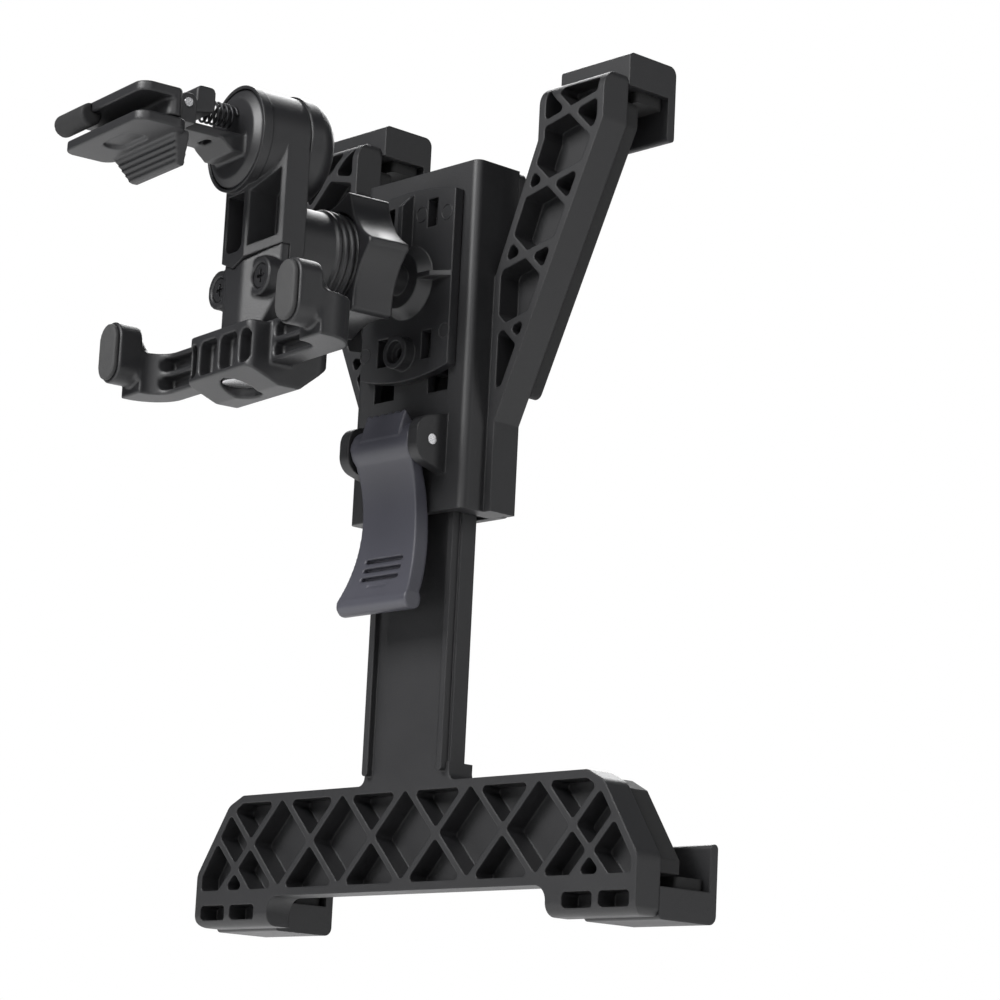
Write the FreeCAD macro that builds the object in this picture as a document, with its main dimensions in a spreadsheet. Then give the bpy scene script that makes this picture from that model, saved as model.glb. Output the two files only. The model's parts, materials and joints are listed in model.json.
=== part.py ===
import FreeCAD, Part
import math
import os
from types import SimpleNamespace

from FreeCAD import Placement, Rotation, Vector

doc = FreeCAD.newDocument("air_vent_tablet_mount")

# Driving sizes, in millimetres and degrees
SIZES = {
    # Places and fits
    "slot_reach": 60.5,
    "slot_rise": 20.1,
    "cradle_turn": 7.3,
    "corner_slack": 0.01,
    "running_gap": 0.3,
    "pin_gap": 0.05,
    "screw_gap": 0.1,
    # Ball joint
    "ball_radius": 8.0,
    "ball_gap": 0.15,
    "liner_thick": 1.0,
    "front_liner_inner_angle": 15,
    "front_liner_outer_angle": 70,
    "rear_liner_inner_angle": 40,
    "rear_liner_outer_angle": 80,
    "stem_radius": 3.5,
    "ball_to_plate": 17.4,
    "collar_radius": 8.5,
    "collar_length": 2.9,
    "collar_nose_radius": 6.5,
    # Clamp nut and the threaded cup
    "nut_front": 4.9,
    "nut_rear": 5.5,
    "nut_tip_radius": 15.9,
    "nut_valley_radius": 12.4,
    "nut_turn": 8,
    "nut_tip_angle": 2.5,
    "nut_lobes": 6,
    "cup_length": 18.8,
    "cup_radius": 10.2,
    "cup_neck": 8.8,
    "cup_mouth": 0.4,
    "nut_seat": 0.9,
    "thread_depth": 0.6,
    "thread_ridges": 6,
    # Arm
    "arm_depth": 11.0,
    "arm_half": 11.5,
    "arm_side_depth": 5.7,
    "arm_nose_half": 4.5,
    "arm_low": 14.0,
    "shell_depth": 3.7,
    "seam_drop": 6.5,
    "seam_rise": 4.7,
    "arm_border": 1.0,
    "nose_pocket_half": 3.3,
    "nose_rib": 1.7,
    "pocket_sill": 2.2,
    "head_rise": 22.5,
    "head_radius": 11.7,
    "ring_radius": 11.9,
    "ring_proud": 1.2,
    "pivot_hub_radius": 6.0,
    "cap_radius": 12.1,
    "cap_depth": 8.0,
    "cap_straight": 3.2,
    "cap_flat_radius": 5.5,
    "cap_wall": 1.5,
    # Lower block, its screws and the fork's pin
    "block_low": 20.0,
    "block_nose": 10.6,
    "block_nose_half": 3.6,
    "block_foot_half": 8.0,
    "block_shoulder": 12.5,
    "boss_offset": 8.5,
    "boss_drop": 9.3,
    "boss_radius": 4.35,
    "boss_length": 5.5,
    "recess_radius": 2.8,
    "recess_depth": 1.5,
    "screw_head_radius": 2.6,
    "screw_head_height": 1.1,
    "screw_radius": 1.5,
    "screw_length": 8.0,
    "cross_length": 3.0,
    "cross_width": 0.7,
    "cross_depth": 0.7,
    "fork_pin_radius": 2.5,
    "fork_pin_set_back": 6.7,
    "fork_pin_grip": 7.0,
    "fork_flange_radius": 4.2,
    "fork_flange_thick": 1.0,
    # Support fork
    "hub_height": 13.3,
    "hub_half": 13.0,
    "hub_front": 32.0,
    "hub_back": 10.7,
    "hub_corner": 4.0,
    "hub_keel_front": 3.2,
    "hub_keel_back": 6.5,
    "hub_keel_run": 8.0,
    "hub_pocket_depth": 3.2,
    "hub_pocket_edge": 1.8,
    "hub_pocket_rib": 1.3,
    "hub_inner_pocket": 7.0,
    "prong_top": 19.5,
    "prong_height": 9.5,
    "prong_back": 21.4,
    "prong_thick": 5.2,
    "prong_bend": 9.0,
    "prong_inner_bend": 5.0,
    "channel_depth": 2.6,
    "channel_rim": 1.2,
    "channel_rib": 1.3,
    "pad_width": 8.4,
    "pad_height": 14.0,
    "pad_offset": 37.4,
    "pad_drop": 20.1,
    "pad_face": 38.9,
    "pad_block_depth": 5.5,
    "pad_rubber_thick": 1.2,
    "pad_rubber_inset": 0.6,
    # Vent clip
    "disc_radius": 10.9,
    "disc_face_radius": 9.0,
    "disc_thick": 1.9,
    "disc_rim": 0.7,
    "bar_half": 5.5,
    "bar_top": 22.0,
    "bar_thick": 2.0,
    "bar_hole_half": 1.1,
    "bar_hole_radius": 0.9,
    "bar_hole_reach": 6.5,
    "gusset_half": 6.0,
    "gusset_run": 6.0,
    "gusset_drop": 5.0,
    "jaw_half": 17.0,
    "jaw_front": 64.0,
    "jaw_back": 52.0,
    "jaw_corner": 3.0,
    "jaw_thick": 2.2,
    "slot_height": 4.2,
    "slot_depth": 7.0,
    "riser_half": 8.0,
    "hinge_reach": 48.8,
    "hinge_ear_thick": 1.8,
    "hinge_ear_radius": 2.1,
    "hinge_pin_radius": 1.0,
    "tail_half": 6.0,
    "tail_end": 40.0,
    "knob_top": 30.4,
    "knob_low": 25.0,
    "knob_length": 4.6,
    "knob_round": 1.3,
    "grip_half": 13.4,
    "grip_foot_half": 10.0,
    "grip_drop": 5.6,
    "grip_lean": 2.7,
    "grip_thick": 3.0,
    "grip_ribs": 5,
    "grip_rib_depth": 0.5,
    "thumb_half_length": 6.5,
    "thumb_radius": 2.6,
    "thumb_depth": 0.7,
    "sleeve_radius": 2.5,
    "sleeve_length": 12.5,
    "sleeve_drop": 0.5,
    "nub_radius": 1.2,
    "nub_length": 1.6,
    "spring_radius": 2.4,
    "spring_wire_radius": 0.3,
    "spring_turns": 6,
    "spring_rise": 27.0,
    "washer_radius": 9.0,
    "washer_thick": 1.2,
    "pivot_screw_radius": 2.0,
    "pivot_screw_grip": 8.0,
    "pivot_head_radius": 4.0,
    "pivot_head_height": 2.6,
    # Adapter plate
    "plate_half": 14.75,
    "plate_thick": 2.4,
    "plate_low": 20.7,
    "plate_low_arc": 2.1,
    "plate_high": 19.7,
    "plate_high_arc": 1.7,
    "slide_gap": 0.2,
    "window_inner": 5.7,
    "window_width": 3.3,
    "window_low": 12.0,
    "window_height": 6.5,
    "fin_thick": 1.4,
    "fin_proud": 3.3,
    "fin_shoulder": 17.2,
    "rib_thick": 1.2,
    "rib_proud": 3.0,
    "plate_boss_drop": 16.6,
    "plate_boss_radius": 3.8,
    "plate_boss_proud": 2.9,
    "plate_boss_recess": 2.6,
    "plate_boss_floor": 1.2,
    "plate_boss_hole": 1.2,
    "hook_inner": 6.0,
    "hook_width": 3.0,
    "hook_low": 21.5,
    "hook_neck": 3.0,
    "hook_height": 9.5,
    "hook_thick": 1.6,
    "hook_pitch": 30.5,
    "unlock_travel": 4.0,
    "slot_width": 6.7,
    # Housing and its cover
    "housing_half": 19.0,
    "housing_top": 26.3,
    "housing_low": 53.2,
    "housing_depth": 12.6,
    "housing_edge": 1.8,
    "housing_wall": 2.2,
    "cover_thick": 2.0,
    "cover_rail_inner": 6.0,
    "cover_rail_width": 2.0,
    "cover_screw_x": 16.6,
    "cover_screw_top": 20.0,
    "cover_screw_low": 46.0,
    "cover_screw_radius": 1.2,
    "cover_screw_length": 9.0,
    "cover_head_radius": 2.0,
    "cover_head_height": 1.0,
    # Lattice arms of the cradle
    "yoke_set_back": 6.5,
    "yoke_depth": 7.4,
    "yoke_web": 1.8,
    "yoke_border": 2.0,
    "yoke_outer": 51.5,
    "yoke_inner": 31.1,
    "yoke_top": 42.7,
    "yoke_shoulder": 31.0,
    "yoke_elbow": 29.6,
    "yoke_foot_half": 21.2,
    "yoke_foot_top": 33.0,
    "yoke_crown": 5.0,
    "yoke_corner": 2.0,
    "yoke_cross_x": 41.0,
    "yoke_cross_z": 34.8,
    "yoke_step_x": 6.0,
    "yoke_step_z": 15.5,
    "yoke_flat_angle": 12.5,
    "yoke_steep_angle": -43.5,
    "lattice_rib": 1.5,
    "lattice_corner": 1.0,
    "lattice_smallest": 5.0,
    "pad_thick": 4.2,
    "pad_inset": 1.0,
    # Cam lever and brake shoe
    "lever_drop": 38.0,
    "lever_stand": 4.2,
    "ear_inner": 10.1,
    "ear_thick": 3.0,
    "ear_nose": 4.5,
    "ear_top": 31.0,
    "ear_low": 45.5,
    "lever_pin_radius": 1.2,
    "lever_half": 9.7,
    "lever_waist_half": 8.9,
    "lever_tip_half": 11.6,
    "lever_waist_drop": 51.0,
    "lever_tip_drop": 76.0,
    "lever_thick": 3.8,
    "lever_tip_proud": 7.9,
    "lever_waist_proud": 4.6,
    "cam_radius": 4.8,
    "cam_offset": 0.6,
    "cam_angle": 40,
    "tab_half": 6.5,
    "tab_top": 30.8,
    "tab_proud": 6.7,
    "groove_half": 3.2,
    "groove_height": 1.0,
    "groove_pitch": 2.6,
    "groove_reach": 1.2,
    "groove_drop": 64.5,
    "shoe_gap": 0.05,
    "shoe_half_height": 5.0,
    # Slider: stem and beam
    "hook_room": 2.5,
    "panel_thick": 4.5,
    "panel_half": 13.2,
    "flange_half": 14.0,
    "flange_set_back": 0.4,
    "edge_rib_width": 1.8,
    "edge_rib_proud": 1.6,
    "edge_rib_stop": 2.0,
    "stem_top": 27.0,
    "beam_top": 112.25,
    "beam_low": 135.85,
    "beam_depth": 6.9,
    "beam_top_inset": 5.0,
    "beam_shoulder_inset": 10.5,
    "beam_shoulder_drop": 2.3,
    "beam_half": 72.5,
    "beam_hip_rise": 5.6,
    "foot_low": 142.5,
    "foot_inner": 46.0,
    "foot_fillet": 3.5,
    "foot_round": 6.0,
    "beam_border": 1.8,
    "beam_web": 1.8,
    "beam_cross_z": 123.6,
    "beam_pitch": 21.3,
    "beam_crossings": 6,
    "beam_angle": 46,
    "stem_fillet": 2.0,
    "stem_stub": 4.0,
    "foot_pocket_mid": 60.7,
    "foot_pocket_pitch": 10.8,
    "foot_pocket_width": 9.0,
    "foot_pocket_height": 3.4,
    "foot_pocket_drop": 139.2,
    # Corner hooks and their rubber liners
    "jaw_clip_width": 21.8,
    "jaw_clip_reach": 10.3,
    "jaw_clip_lip": 2.1,
    "jaw_clip_lip_length": 10.0,
    "jaw_clip_round": 2.0,
    "upper_clip_inner": 30.0,
    "upper_clip_low": 40.25,
    "upper_clip_thick": 7.5,
    "lower_clip_overhang": 0.1,
    "lower_clip_floor": 136.25,
    "lower_clip_thick": 6.75,
    "jaw_nub_proud": 2.9,
    "jaw_nub_height": 3.6,
    "jaw_nub_half": 5.0,
    "jaw_liner_thick": 2.6,
    "jaw_liner_inset": 1.8,
}

sheet = doc.addObject("Spreadsheet::Sheet", "sizes")
for row, (alias, number) in enumerate(SIZES.items(), start=1):
    sheet.set(f"A{row}", alias)
    sheet.set(f"B{row}", str(number))
    sheet.setAlias(f"B{row}", alias)
doc.recompute()


# Lengths that stay tied to the sheet
class Measure:
    """A length, kept as its number and as the expression that ties it to the sheet."""

    def __init__(self, number, text):
        self.number = float(number)
        self.text = text

    def __float__(self):
        return self.number

    def __neg__(self):
        return Measure(-self.number, f"(-1 * {self.text})")

    def __add__(self, other):
        other = measure(other)
        return Measure(self.number + other.number, f"({self.text} + {other.text})")

    def __sub__(self, other):
        other = measure(other)
        return Measure(self.number - other.number, f"({self.text} - {other.text})")

    def __mul__(self, other):
        other = measure(other)
        return Measure(self.number * other.number, f"({self.text} * {other.text})")

    def __truediv__(self, other):
        other = measure(other)
        return Measure(self.number / other.number, f"({self.text} / {other.text})")

    def __radd__(self, other):
        return measure(other) + self

    def __rsub__(self, other):
        return measure(other) - self

    def __rmul__(self, other):
        return measure(other) * self


def measure(length):
    """A plain number becomes a Measure; a Measure stays as it is."""
    if isinstance(length, Measure):
        return length
    return Measure(length, f"{float(length)!r}")


size = SimpleNamespace(
    **{alias: Measure(sheet.get(alias), f"sizes.{alias}") for alias in SIZES}
)
SIDES = (("left", -1), ("right", 1))


# Outlines for sketches
def point(x, y):
    return Vector(float(x), float(y), 0)


def circle(x, y, radius):
    return [Part.Circle(point(x, y), Vector(0, 0, 1), float(radius))]


def outline(*corners):
    """Closed loop of lines; a corner with a third number is rounded by that radius."""
    places = [point(corner[0], corner[1]) for corner in corners]
    radii = [float(corner[2]) if len(corner) > 2 else 0.0 for corner in corners]
    bends = []
    for index, place in enumerate(places):
        if radii[index] == 0:
            bends.append((place, None, place))
            continue
        before = (places[index - 1] - place).normalize()
        after = (places[(index + 1) % len(places)] - place).normalize()
        half_angle = before.getAngle(after) / 2
        reach = radii[index] / math.tan(half_angle)
        crown = radii[index] / math.sin(half_angle) - radii[index]
        middle = place + (before + after).normalize() * crown
        bends.append((place + before * reach, middle, place + after * reach))
    edges = []
    for index, (start, middle, end) in enumerate(bends):
        last_end = bends[index - 1][2]
        if (start - last_end).Length > 1e-6:
            edges.append(Part.LineSegment(last_end, start))
        if middle is not None:
            edges.append(Part.ArcOfCircle(start, middle, end))
    return edges


def rectangle(x_low, x_high, y_low, y_high, radius=0):
    return outline(
        (x_low, y_low, radius), (x_high, y_low, radius), (x_high, y_high, radius), (x_low, y_high, radius)
    )


def path(*pieces):
    """Closed loop of pieces: two points make a line, three points make an arc."""
    edges = []
    for piece in pieces:
        points = [point(*place) for place in piece]
        edges.append(Part.LineSegment(*points) if len(points) == 2 else Part.ArcOfCircle(*points))
    return edges


def edge_round(x, y, x_reach, y_reach):
    """Corner piece left outside a quarter round; the reaches point into the solid."""
    bend = 1 - math.sqrt(0.5)
    return path(
        ((x, y), (x + x_reach, y)),
        ((x + x_reach, y), (x + bend * x_reach, y + bend * y_reach), (x, y + y_reach)),
        ((x, y + y_reach), (x, y)),
    )


# Features of a body
ALONG = {"XY_Plane": 1, "XZ_Plane": -1, "YZ_Plane": 1}
sub_parts = []


def new_body(label, placement):
    body = doc.addObject("PartDesign::Body", label)
    body.Label = label
    body.Placement = placement
    sub_parts.append(body)
    return body


def sketch_on(body, name, plane, level, loops, rise=0):
    """Loops drawn on one of the body's own planes, moved to a level along its axis."""
    support = [feature for feature in body.Origin.OriginFeatures if feature.Role == plane][0]
    sketch = body.newObject("Sketcher::SketchObject", f"{body.Name}_{name}_sketch")
    sketch.AttachmentSupport = [(support, "")]
    sketch.MapMode = "FlatFace"
    sketch.setExpression("AttachmentOffset.Base.z", (measure(level) * ALONG[plane]).text)
    sketch.setExpression("AttachmentOffset.Base.y", measure(rise).text)
    for loop in loops:
        sketch.addGeometry(loop, False)
    return sketch


def pad(body, name, plane, loops, low, high):
    """Solid between two levels along the plane's axis."""
    level = low if ALONG[plane] > 0 else high
    sketch = sketch_on(body, name, plane, level, loops)
    feature = body.newObject("PartDesign::Pad", f"{body.Name}_{name}")
    feature.Profile = sketch
    feature.setExpression("Length", (measure(high) - low).text)
    return feature


def pocket(body, name, plane, loops, low, high):
    """Cut between two levels along the plane's axis."""
    level = high if ALONG[plane] > 0 else low
    sketch = sketch_on(body, name, plane, level, loops)
    feature = body.newObject("PartDesign::Pocket", f"{body.Name}_{name}")
    feature.Profile = sketch
    feature.setExpression("Length", (measure(high) - low).text)
    return feature


def turned(body, name, loops, rise=0, kind="PartDesign::Revolution"):
    """Full turn about the line along Y at the given height; loops are (y, radius)."""
    sketch = sketch_on(body, name, "YZ_Plane", 0, loops, rise)
    feature = body.newObject(kind, f"{body.Name}_{name}")
    feature.Profile = sketch
    feature.ReferenceAxis = (sketch, ["H_Axis"])
    feature.Angle = 360
    return feature


# Placements: the origin is the middle of the blade slot, and pieces are drawn from the ball
ball_place = Vector(0, float(size.slot_reach), -float(size.slot_rise))
ARM_FRAME = Placement(ball_place, Rotation())
CRADLE_FRAME = Placement(ball_place, Rotation(Vector(0, 0, 1), float(size.cradle_turn)))

# Stations of the arm and clip, from the ball: back is +Y, up is +Z
arm_back = -size.cup_length
arm_front = arm_back - size.arm_depth
shell_front = arm_back - size.shell_depth
seat_radius = size.ball_radius + size.liner_thick + 2 * size.ball_gap
thread_radius = size.cup_radius + size.thread_depth
disc_back = arm_front - size.running_gap
disc_face = disc_back - size.disc_thick
hub_top = -(size.block_low + size.running_gap)
hub_low = hub_top - size.hub_height
fork_pin_y = arm_back - size.fork_pin_set_back
pad_block_front = -(size.pad_face - size.pad_rubber_thick)
prong_front = -(size.prong_back + size.prong_thick)
slot_low = size.slot_rise - size.slot_height / 2
slot_top = size.slot_rise + size.slot_height / 2
hinge_z = size.bar_top + size.running_gap + size.hinge_ear_radius
jaw_front = -size.jaw_front
jaw_back = -size.jaw_back
hinge_y = -size.hinge_reach


# Shares of a size that shape a rounding or a bend
NOSE_ROUND = 0.9
SLOT_ROUND = 0.45
LIP_ROUND = 1 / 2.1
POCKET_ROUND = 0.6
TOOTH_SHARE = 0.6
DOME_SHARE = 0.72
TIP_SHARE = 0.95
ROOT_SHARE = 0.9
TAB_ROOT_SHARE = 0.3


# Vent clip
def make_clip_base():
    body = new_body("clip_base", ARM_FRAME)
    disc = outline(
        (disc_back, 0), (disc_back, size.disc_radius), (disc_back - size.disc_rim, size.disc_radius),
        (disc_face, size.disc_face_radius), (disc_face, 0),
    )
    turned(body, "disc", [disc], size.head_rise)
    hub_end = arm_back + size.running_gap
    hub = circle(0, size.head_rise, size.pivot_hub_radius)
    pad(body, "hub", "XZ_Plane", [hub], disc_back, hub_end)
    hole = circle(0, size.head_rise, size.pivot_screw_radius + size.pin_gap)
    pocket(body, "screw_hole", "XZ_Plane", [hole], hub_end - size.pivot_screw_grip, hub_end)
    bar_low = size.bar_top - size.bar_thick
    bar = rectangle(-size.bar_half, size.bar_half, jaw_back, disc_face)
    pad(body, "bar", "XY_Plane", [bar], bar_low, size.bar_top)
    hole_y = disc_face - size.bar_hole_reach
    hole = rectangle(
        -size.bar_hole_half - size.bar_hole_radius, size.bar_hole_half + size.bar_hole_radius,
        hole_y - size.bar_hole_radius, hole_y + size.bar_hole_radius,
        size.bar_hole_radius - size.corner_slack,
    )
    pocket(body, "bar_hole", "XY_Plane", [hole], bar_low, size.bar_top)
    gusset = outline(
        (disc_face, size.bar_top), (disc_face - size.gusset_run, bar_low),
        (disc_face - size.gusset_run / 2, bar_low - size.gusset_drop / 2),
        (disc_face, bar_low - size.gusset_drop / 2),
    )
    pad(body, "gusset", "YZ_Plane", [gusset], -size.gusset_half, size.gusset_half)
    jaw = rectangle(-size.jaw_half, size.jaw_half, jaw_front, jaw_back, size.jaw_corner)
    jaw_low = slot_low - size.jaw_thick
    pad(body, "lower_jaw", "XY_Plane", [jaw], jaw_low, slot_low)
    ear_outer = size.riser_half + size.running_gap + size.hinge_ear_thick
    riser = rectangle(-ear_outer, ear_outer, jaw_back - size.jaw_thick / 2, hinge_y + size.hinge_ear_radius)
    pad(body, "riser_foot", "XY_Plane", [riser], bar_low, size.bar_top)
    riser = rectangle(-ear_outer, ear_outer, jaw_back - size.jaw_thick / 2, jaw_back + size.jaw_thick)
    pad(body, "riser", "XY_Plane", [riser], jaw_low, size.bar_top)
    ear_top = hinge_z + size.hinge_ear_radius
    ear = outline(
        (hinge_y - size.hinge_ear_radius, size.bar_top - size.bar_thick / 2),
        (hinge_y + size.hinge_ear_radius, size.bar_top - size.bar_thick / 2),
        (hinge_y + size.hinge_ear_radius, ear_top, size.hinge_ear_radius * NOSE_ROUND),
        (hinge_y - size.hinge_ear_radius, ear_top, size.hinge_ear_radius * NOSE_ROUND),
    )
    ear_inner = size.riser_half + size.running_gap
    pad(body, "ear_right", "YZ_Plane", [ear], ear_inner, ear_outer)
    pad(body, "ear_left", "YZ_Plane", [ear], -ear_outer, -ear_inner)
    bore = circle(hinge_y, hinge_z, size.hinge_pin_radius)
    pocket(body, "pin_bore", "YZ_Plane", [bore], -ear_outer, ear_outer)
    teeth = int(float(size.grip_ribs))
    grip_top_y = jaw_back - size.jaw_thick / 2
    grip_top = jaw_low + size.jaw_thick / 2
    corners = [(grip_top_y + size.grip_thick, grip_top), (grip_top_y, grip_top)]
    for tooth in range(teeth):
        share = tooth / teeth
        low_share = (tooth + TOOTH_SHARE) / teeth
        corners.append((grip_top_y + size.grip_lean * share, jaw_low - size.grip_drop * share))
        corners.append((
            grip_top_y + size.grip_lean * low_share - size.grip_rib_depth,
            jaw_low - size.grip_drop * low_share,
        ))
    corners.append((grip_top_y + size.grip_lean, jaw_low - size.grip_drop))
    corners.append((grip_top_y + size.grip_lean + size.grip_thick / 2, jaw_low - size.grip_drop))
    pad(body, "grip", "YZ_Plane", [outline(*corners)], -size.grip_half, size.grip_half)
    for name, side in SIDES:
        spare = outline(
            (side * size.grip_half, jaw_low), (side * size.grip_foot_half, jaw_low - size.grip_drop),
            (side * size.grip_half, jaw_low - size.grip_drop),
        )
        pocket(body, f"grip_taper_{name}", "XZ_Plane", [spare], jaw_front, disc_face)
    thumb_y = (jaw_front + jaw_back) / 2
    thumb = rectangle(
        -size.thumb_half_length, size.thumb_half_length,
        thumb_y - size.thumb_radius, thumb_y + size.thumb_radius, size.thumb_radius - size.corner_slack,
    )
    pocket(body, "thumb_recess", "XY_Plane", [thumb], jaw_low, jaw_low + size.thumb_depth)


def make_hook_jaw():
    body = new_body("hook_jaw", ARM_FRAME)
    plate_top = slot_top + size.jaw_thick
    wide_back = jaw_back - size.jaw_thick / 2 - size.running_gap
    plate = outline(
        (-size.jaw_half, jaw_front, size.jaw_corner), (size.jaw_half, jaw_front, size.jaw_corner),
        (size.jaw_half, wide_back, size.jaw_corner), (size.riser_half, wide_back),
        (size.riser_half, hinge_y), (-size.riser_half, hinge_y),
        (-size.riser_half, wide_back), (-size.jaw_half, wide_back, size.jaw_corner),
    )
    pad(body, "plate", "XY_Plane", [plate], slot_top + size.running_gap, plate_top)
    front = rectangle(-size.jaw_half, size.jaw_half, jaw_front, wide_back, size.jaw_corner)
    pad(body, "front", "XY_Plane", [front], slot_top, plate_top)
    stop = rectangle(-size.jaw_half, size.jaw_half, jaw_front + size.slot_depth, wide_back, size.jaw_thick)
    pad(body, "stop", "XY_Plane", [stop], slot_low + size.running_gap, plate_top)
    barrel = circle(hinge_y, hinge_z, size.hinge_ear_radius)
    pad(body, "barrel", "YZ_Plane", [barrel], -size.riser_half, size.riser_half)
    knob_front = -(size.tail_end + size.knob_length)
    tail = outline(
        (hinge_y, hinge_z - size.hinge_ear_radius / 2), (-size.tail_end, size.knob_low),
        (-size.tail_end, size.knob_top, size.knob_round), (knob_front, size.knob_top, size.knob_round),
        (knob_front, hinge_z + size.hinge_ear_radius), (hinge_y, hinge_z + size.hinge_ear_radius),
    )
    pad(body, "tail", "YZ_Plane", [tail], -size.tail_half, size.tail_half)
    bore = circle(hinge_y, hinge_z, size.hinge_pin_radius + size.pin_gap)
    pocket(body, "pin_bore", "YZ_Plane", [bore], -size.riser_half, size.riser_half)


def make_hook_sleeve():
    body = new_body("hook_sleeve", ARM_FRAME)
    roll_y = jaw_front
    roll_z = slot_top - size.sleeve_drop
    roll = circle(roll_y, roll_z, size.sleeve_radius)
    left = -size.jaw_half
    pad(body, "roll", "YZ_Plane", [roll], left, left + size.sleeve_length)
    pad(body, "nub", "YZ_Plane", [circle(roll_y, roll_z, size.nub_radius)], left - size.nub_length, left)
    seat = rectangle(jaw_front, jaw_front + size.sleeve_radius, slot_top, slot_top + size.sleeve_radius)
    pocket(body, "seat", "YZ_Plane", [seat], left - size.nub_length, left + size.sleeve_length)


def make_jaw_pin():
    body = new_body("jaw_pin", ARM_FRAME)
    half = size.riser_half + size.running_gap + size.hinge_ear_thick
    pad(body, "pin", "YZ_Plane", [circle(hinge_y, hinge_z, size.hinge_pin_radius)], -half, half)


def make_clip_spring():
    """Coil spring between the jaw's tail and the disc."""
    helix = doc.addObject("Part::Helix", "spring_helix")
    wire = size.spring_wire_radius
    free_length = size.tail_end + disc_face - 2 * wire
    helix.setExpression("Radius", size.spring_radius.text)
    helix.setExpression("Height", free_length.text)
    helix.setExpression("Pitch", (free_length / size.spring_turns).text)
    ring = doc.addObject("Part::Circle", "spring_wire")
    ring.setExpression("Radius", wire.text)
    ring.Placement = Placement(Vector(float(size.spring_radius), 0, 0), Rotation(Vector(1, 0, 0), 90))
    sweep = doc.addObject("Part::Sweep", "clip_spring")
    sweep.Label = "clip_spring"
    sweep.Sections = [ring]
    sweep.Spine = (helix, ["Edge1"])
    sweep.Solid = True
    sweep.Frenet = True
    start = ball_place + Vector(0, float(wire - size.tail_end), float(size.spring_rise))
    sweep.Placement = Placement(start, Rotation(Vector(1, 0, 0), -90))
    sub_parts.append(sweep)


def make_pivot():
    washer = new_body("pivot_washer", ARM_FRAME)
    seat = arm_back + size.running_gap
    rim = circle(0, size.head_rise, size.washer_radius)
    hole = circle(0, size.head_rise, size.pivot_screw_radius + size.pin_gap)
    pad(washer, "ring", "XZ_Plane", [rim, hole], seat, seat + size.washer_thick)
    screw = new_body("pivot_screw", ARM_FRAME)
    head_low = seat + size.washer_thick
    head = circle(0, size.head_rise, size.pivot_head_radius)
    pad(screw, "head", "XZ_Plane", [head], head_low, head_low + size.pivot_head_height)
    shank = circle(0, size.head_rise, size.pivot_screw_radius)
    pad(screw, "shank", "XZ_Plane", [shank], seat - size.pivot_screw_grip, head_low)


make_clip_base()
make_hook_jaw()
make_hook_sleeve()
make_jaw_pin()
make_clip_spring()
make_pivot()


# Arm
def seam_height(x):
    """Height of the V seam between the arm and the lower block."""
    return float(size.seam_rise) * abs(float(x)) / float(size.arm_half) - float(size.seam_drop)


def wedge_plan(front, nose_half, back):
    half = size.arm_half
    side = arm_back - size.arm_side_depth
    return outline(
        (-half, back), (-half, side), (-nose_half, front), (nose_half, front), (half, side), (half, back)
    )


def make_arm_body():
    body = new_body("arm_body", ARM_FRAME)
    plan = wedge_plan(arm_front, size.arm_nose_half, arm_back)
    pad(body, "wedge", "XY_Plane", [plan], -size.arm_low, size.head_rise)
    half = size.arm_half
    under_seam = outline(
        (-half, -size.arm_low), (half, -size.arm_low), (half, seam_height(half)),
        (0, seam_height(0)), (-half, seam_height(half)),
    )
    pocket(body, "under_seam", "XZ_Plane", [under_seam], arm_front, shell_front)
    pad(body, "head", "XZ_Plane", [circle(0, size.head_rise, size.head_radius)], arm_front, arm_back)
    ring = circle(0, size.head_rise, size.ring_radius)
    pad(body, "ring", "XZ_Plane", [ring], arm_front - size.ring_proud, arm_front + size.ring_proud)
    disc_room = circle(0, size.head_rise, size.disc_radius + size.running_gap)
    pocket(body, "disc_room", "XZ_Plane", [disc_room], arm_front - size.ring_proud, arm_front)
    hub_bore = circle(0, size.head_rise, size.pivot_hub_radius + size.pin_gap)
    pocket(body, "hub_bore", "XZ_Plane", [hub_bore], arm_front - size.ring_proud, arm_back)
    nose = size.nose_pocket_half
    sill = size.pocket_sill
    head_low = size.head_rise - size.ring_radius - size.arm_border / 2
    nose_pocket = outline(
        (-nose, seam_height(nose) + sill, nose * POCKET_ROUND),
        (nose, seam_height(nose) + sill, nose * POCKET_ROUND),
        (nose, head_low), (-nose, head_low),
    )
    side_pockets = []
    inner = nose + size.nose_rib
    outer = half - size.arm_border
    for name, side in SIDES:
        side_pockets.append(outline(
            (side * inner, seam_height(inner) + sill),
            (side * outer, seam_height(outer) + sill, size.arm_border),
            (side * outer, head_low + size.nose_rib * 3), (side * inner, head_low),
        ))
    pocket(body, "pockets", "XZ_Plane", [nose_pocket] + side_pockets, arm_front, shell_front)
    neck_end = arm_back + size.cup_neck
    mouth = size.cup_mouth
    pitch = (mouth - neck_end) / size.thread_ridges
    mouth_radius = math.sqrt(float(seat_radius) ** 2 - float(mouth) ** 2)
    corners = [(arm_back, 0), (arm_back, size.cup_radius), (neck_end, size.cup_radius)]
    for ridge in range(int(float(size.thread_ridges))):
        start = neck_end + pitch * ridge
        corners.append((start + pitch / 3, thread_radius))
        corners.append((start + pitch * 2 / 3, thread_radius))
        corners.append((start + pitch, size.cup_radius))
    cup = [Part.LineSegment(point(*a), point(*b)) for a, b in zip(corners, corners[1:])]
    slant = math.sqrt(0.5) * float(seat_radius)
    cup += path(
        ((mouth, size.cup_radius), (mouth, mouth_radius)),
        ((mouth, mouth_radius), (-slant, slant), (-seat_radius, 0)),
        ((-seat_radius, 0), (arm_back, 0)),
    )
    turned(body, "cup", [cup])
    hole_radius = size.screw_radius + size.screw_gap
    holes = [circle(side * size.boss_offset, -size.boss_drop, hole_radius) for name, side in SIDES]
    pocket(body, "screw_holes", "XZ_Plane", holes, shell_front, arm_back)


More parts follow.
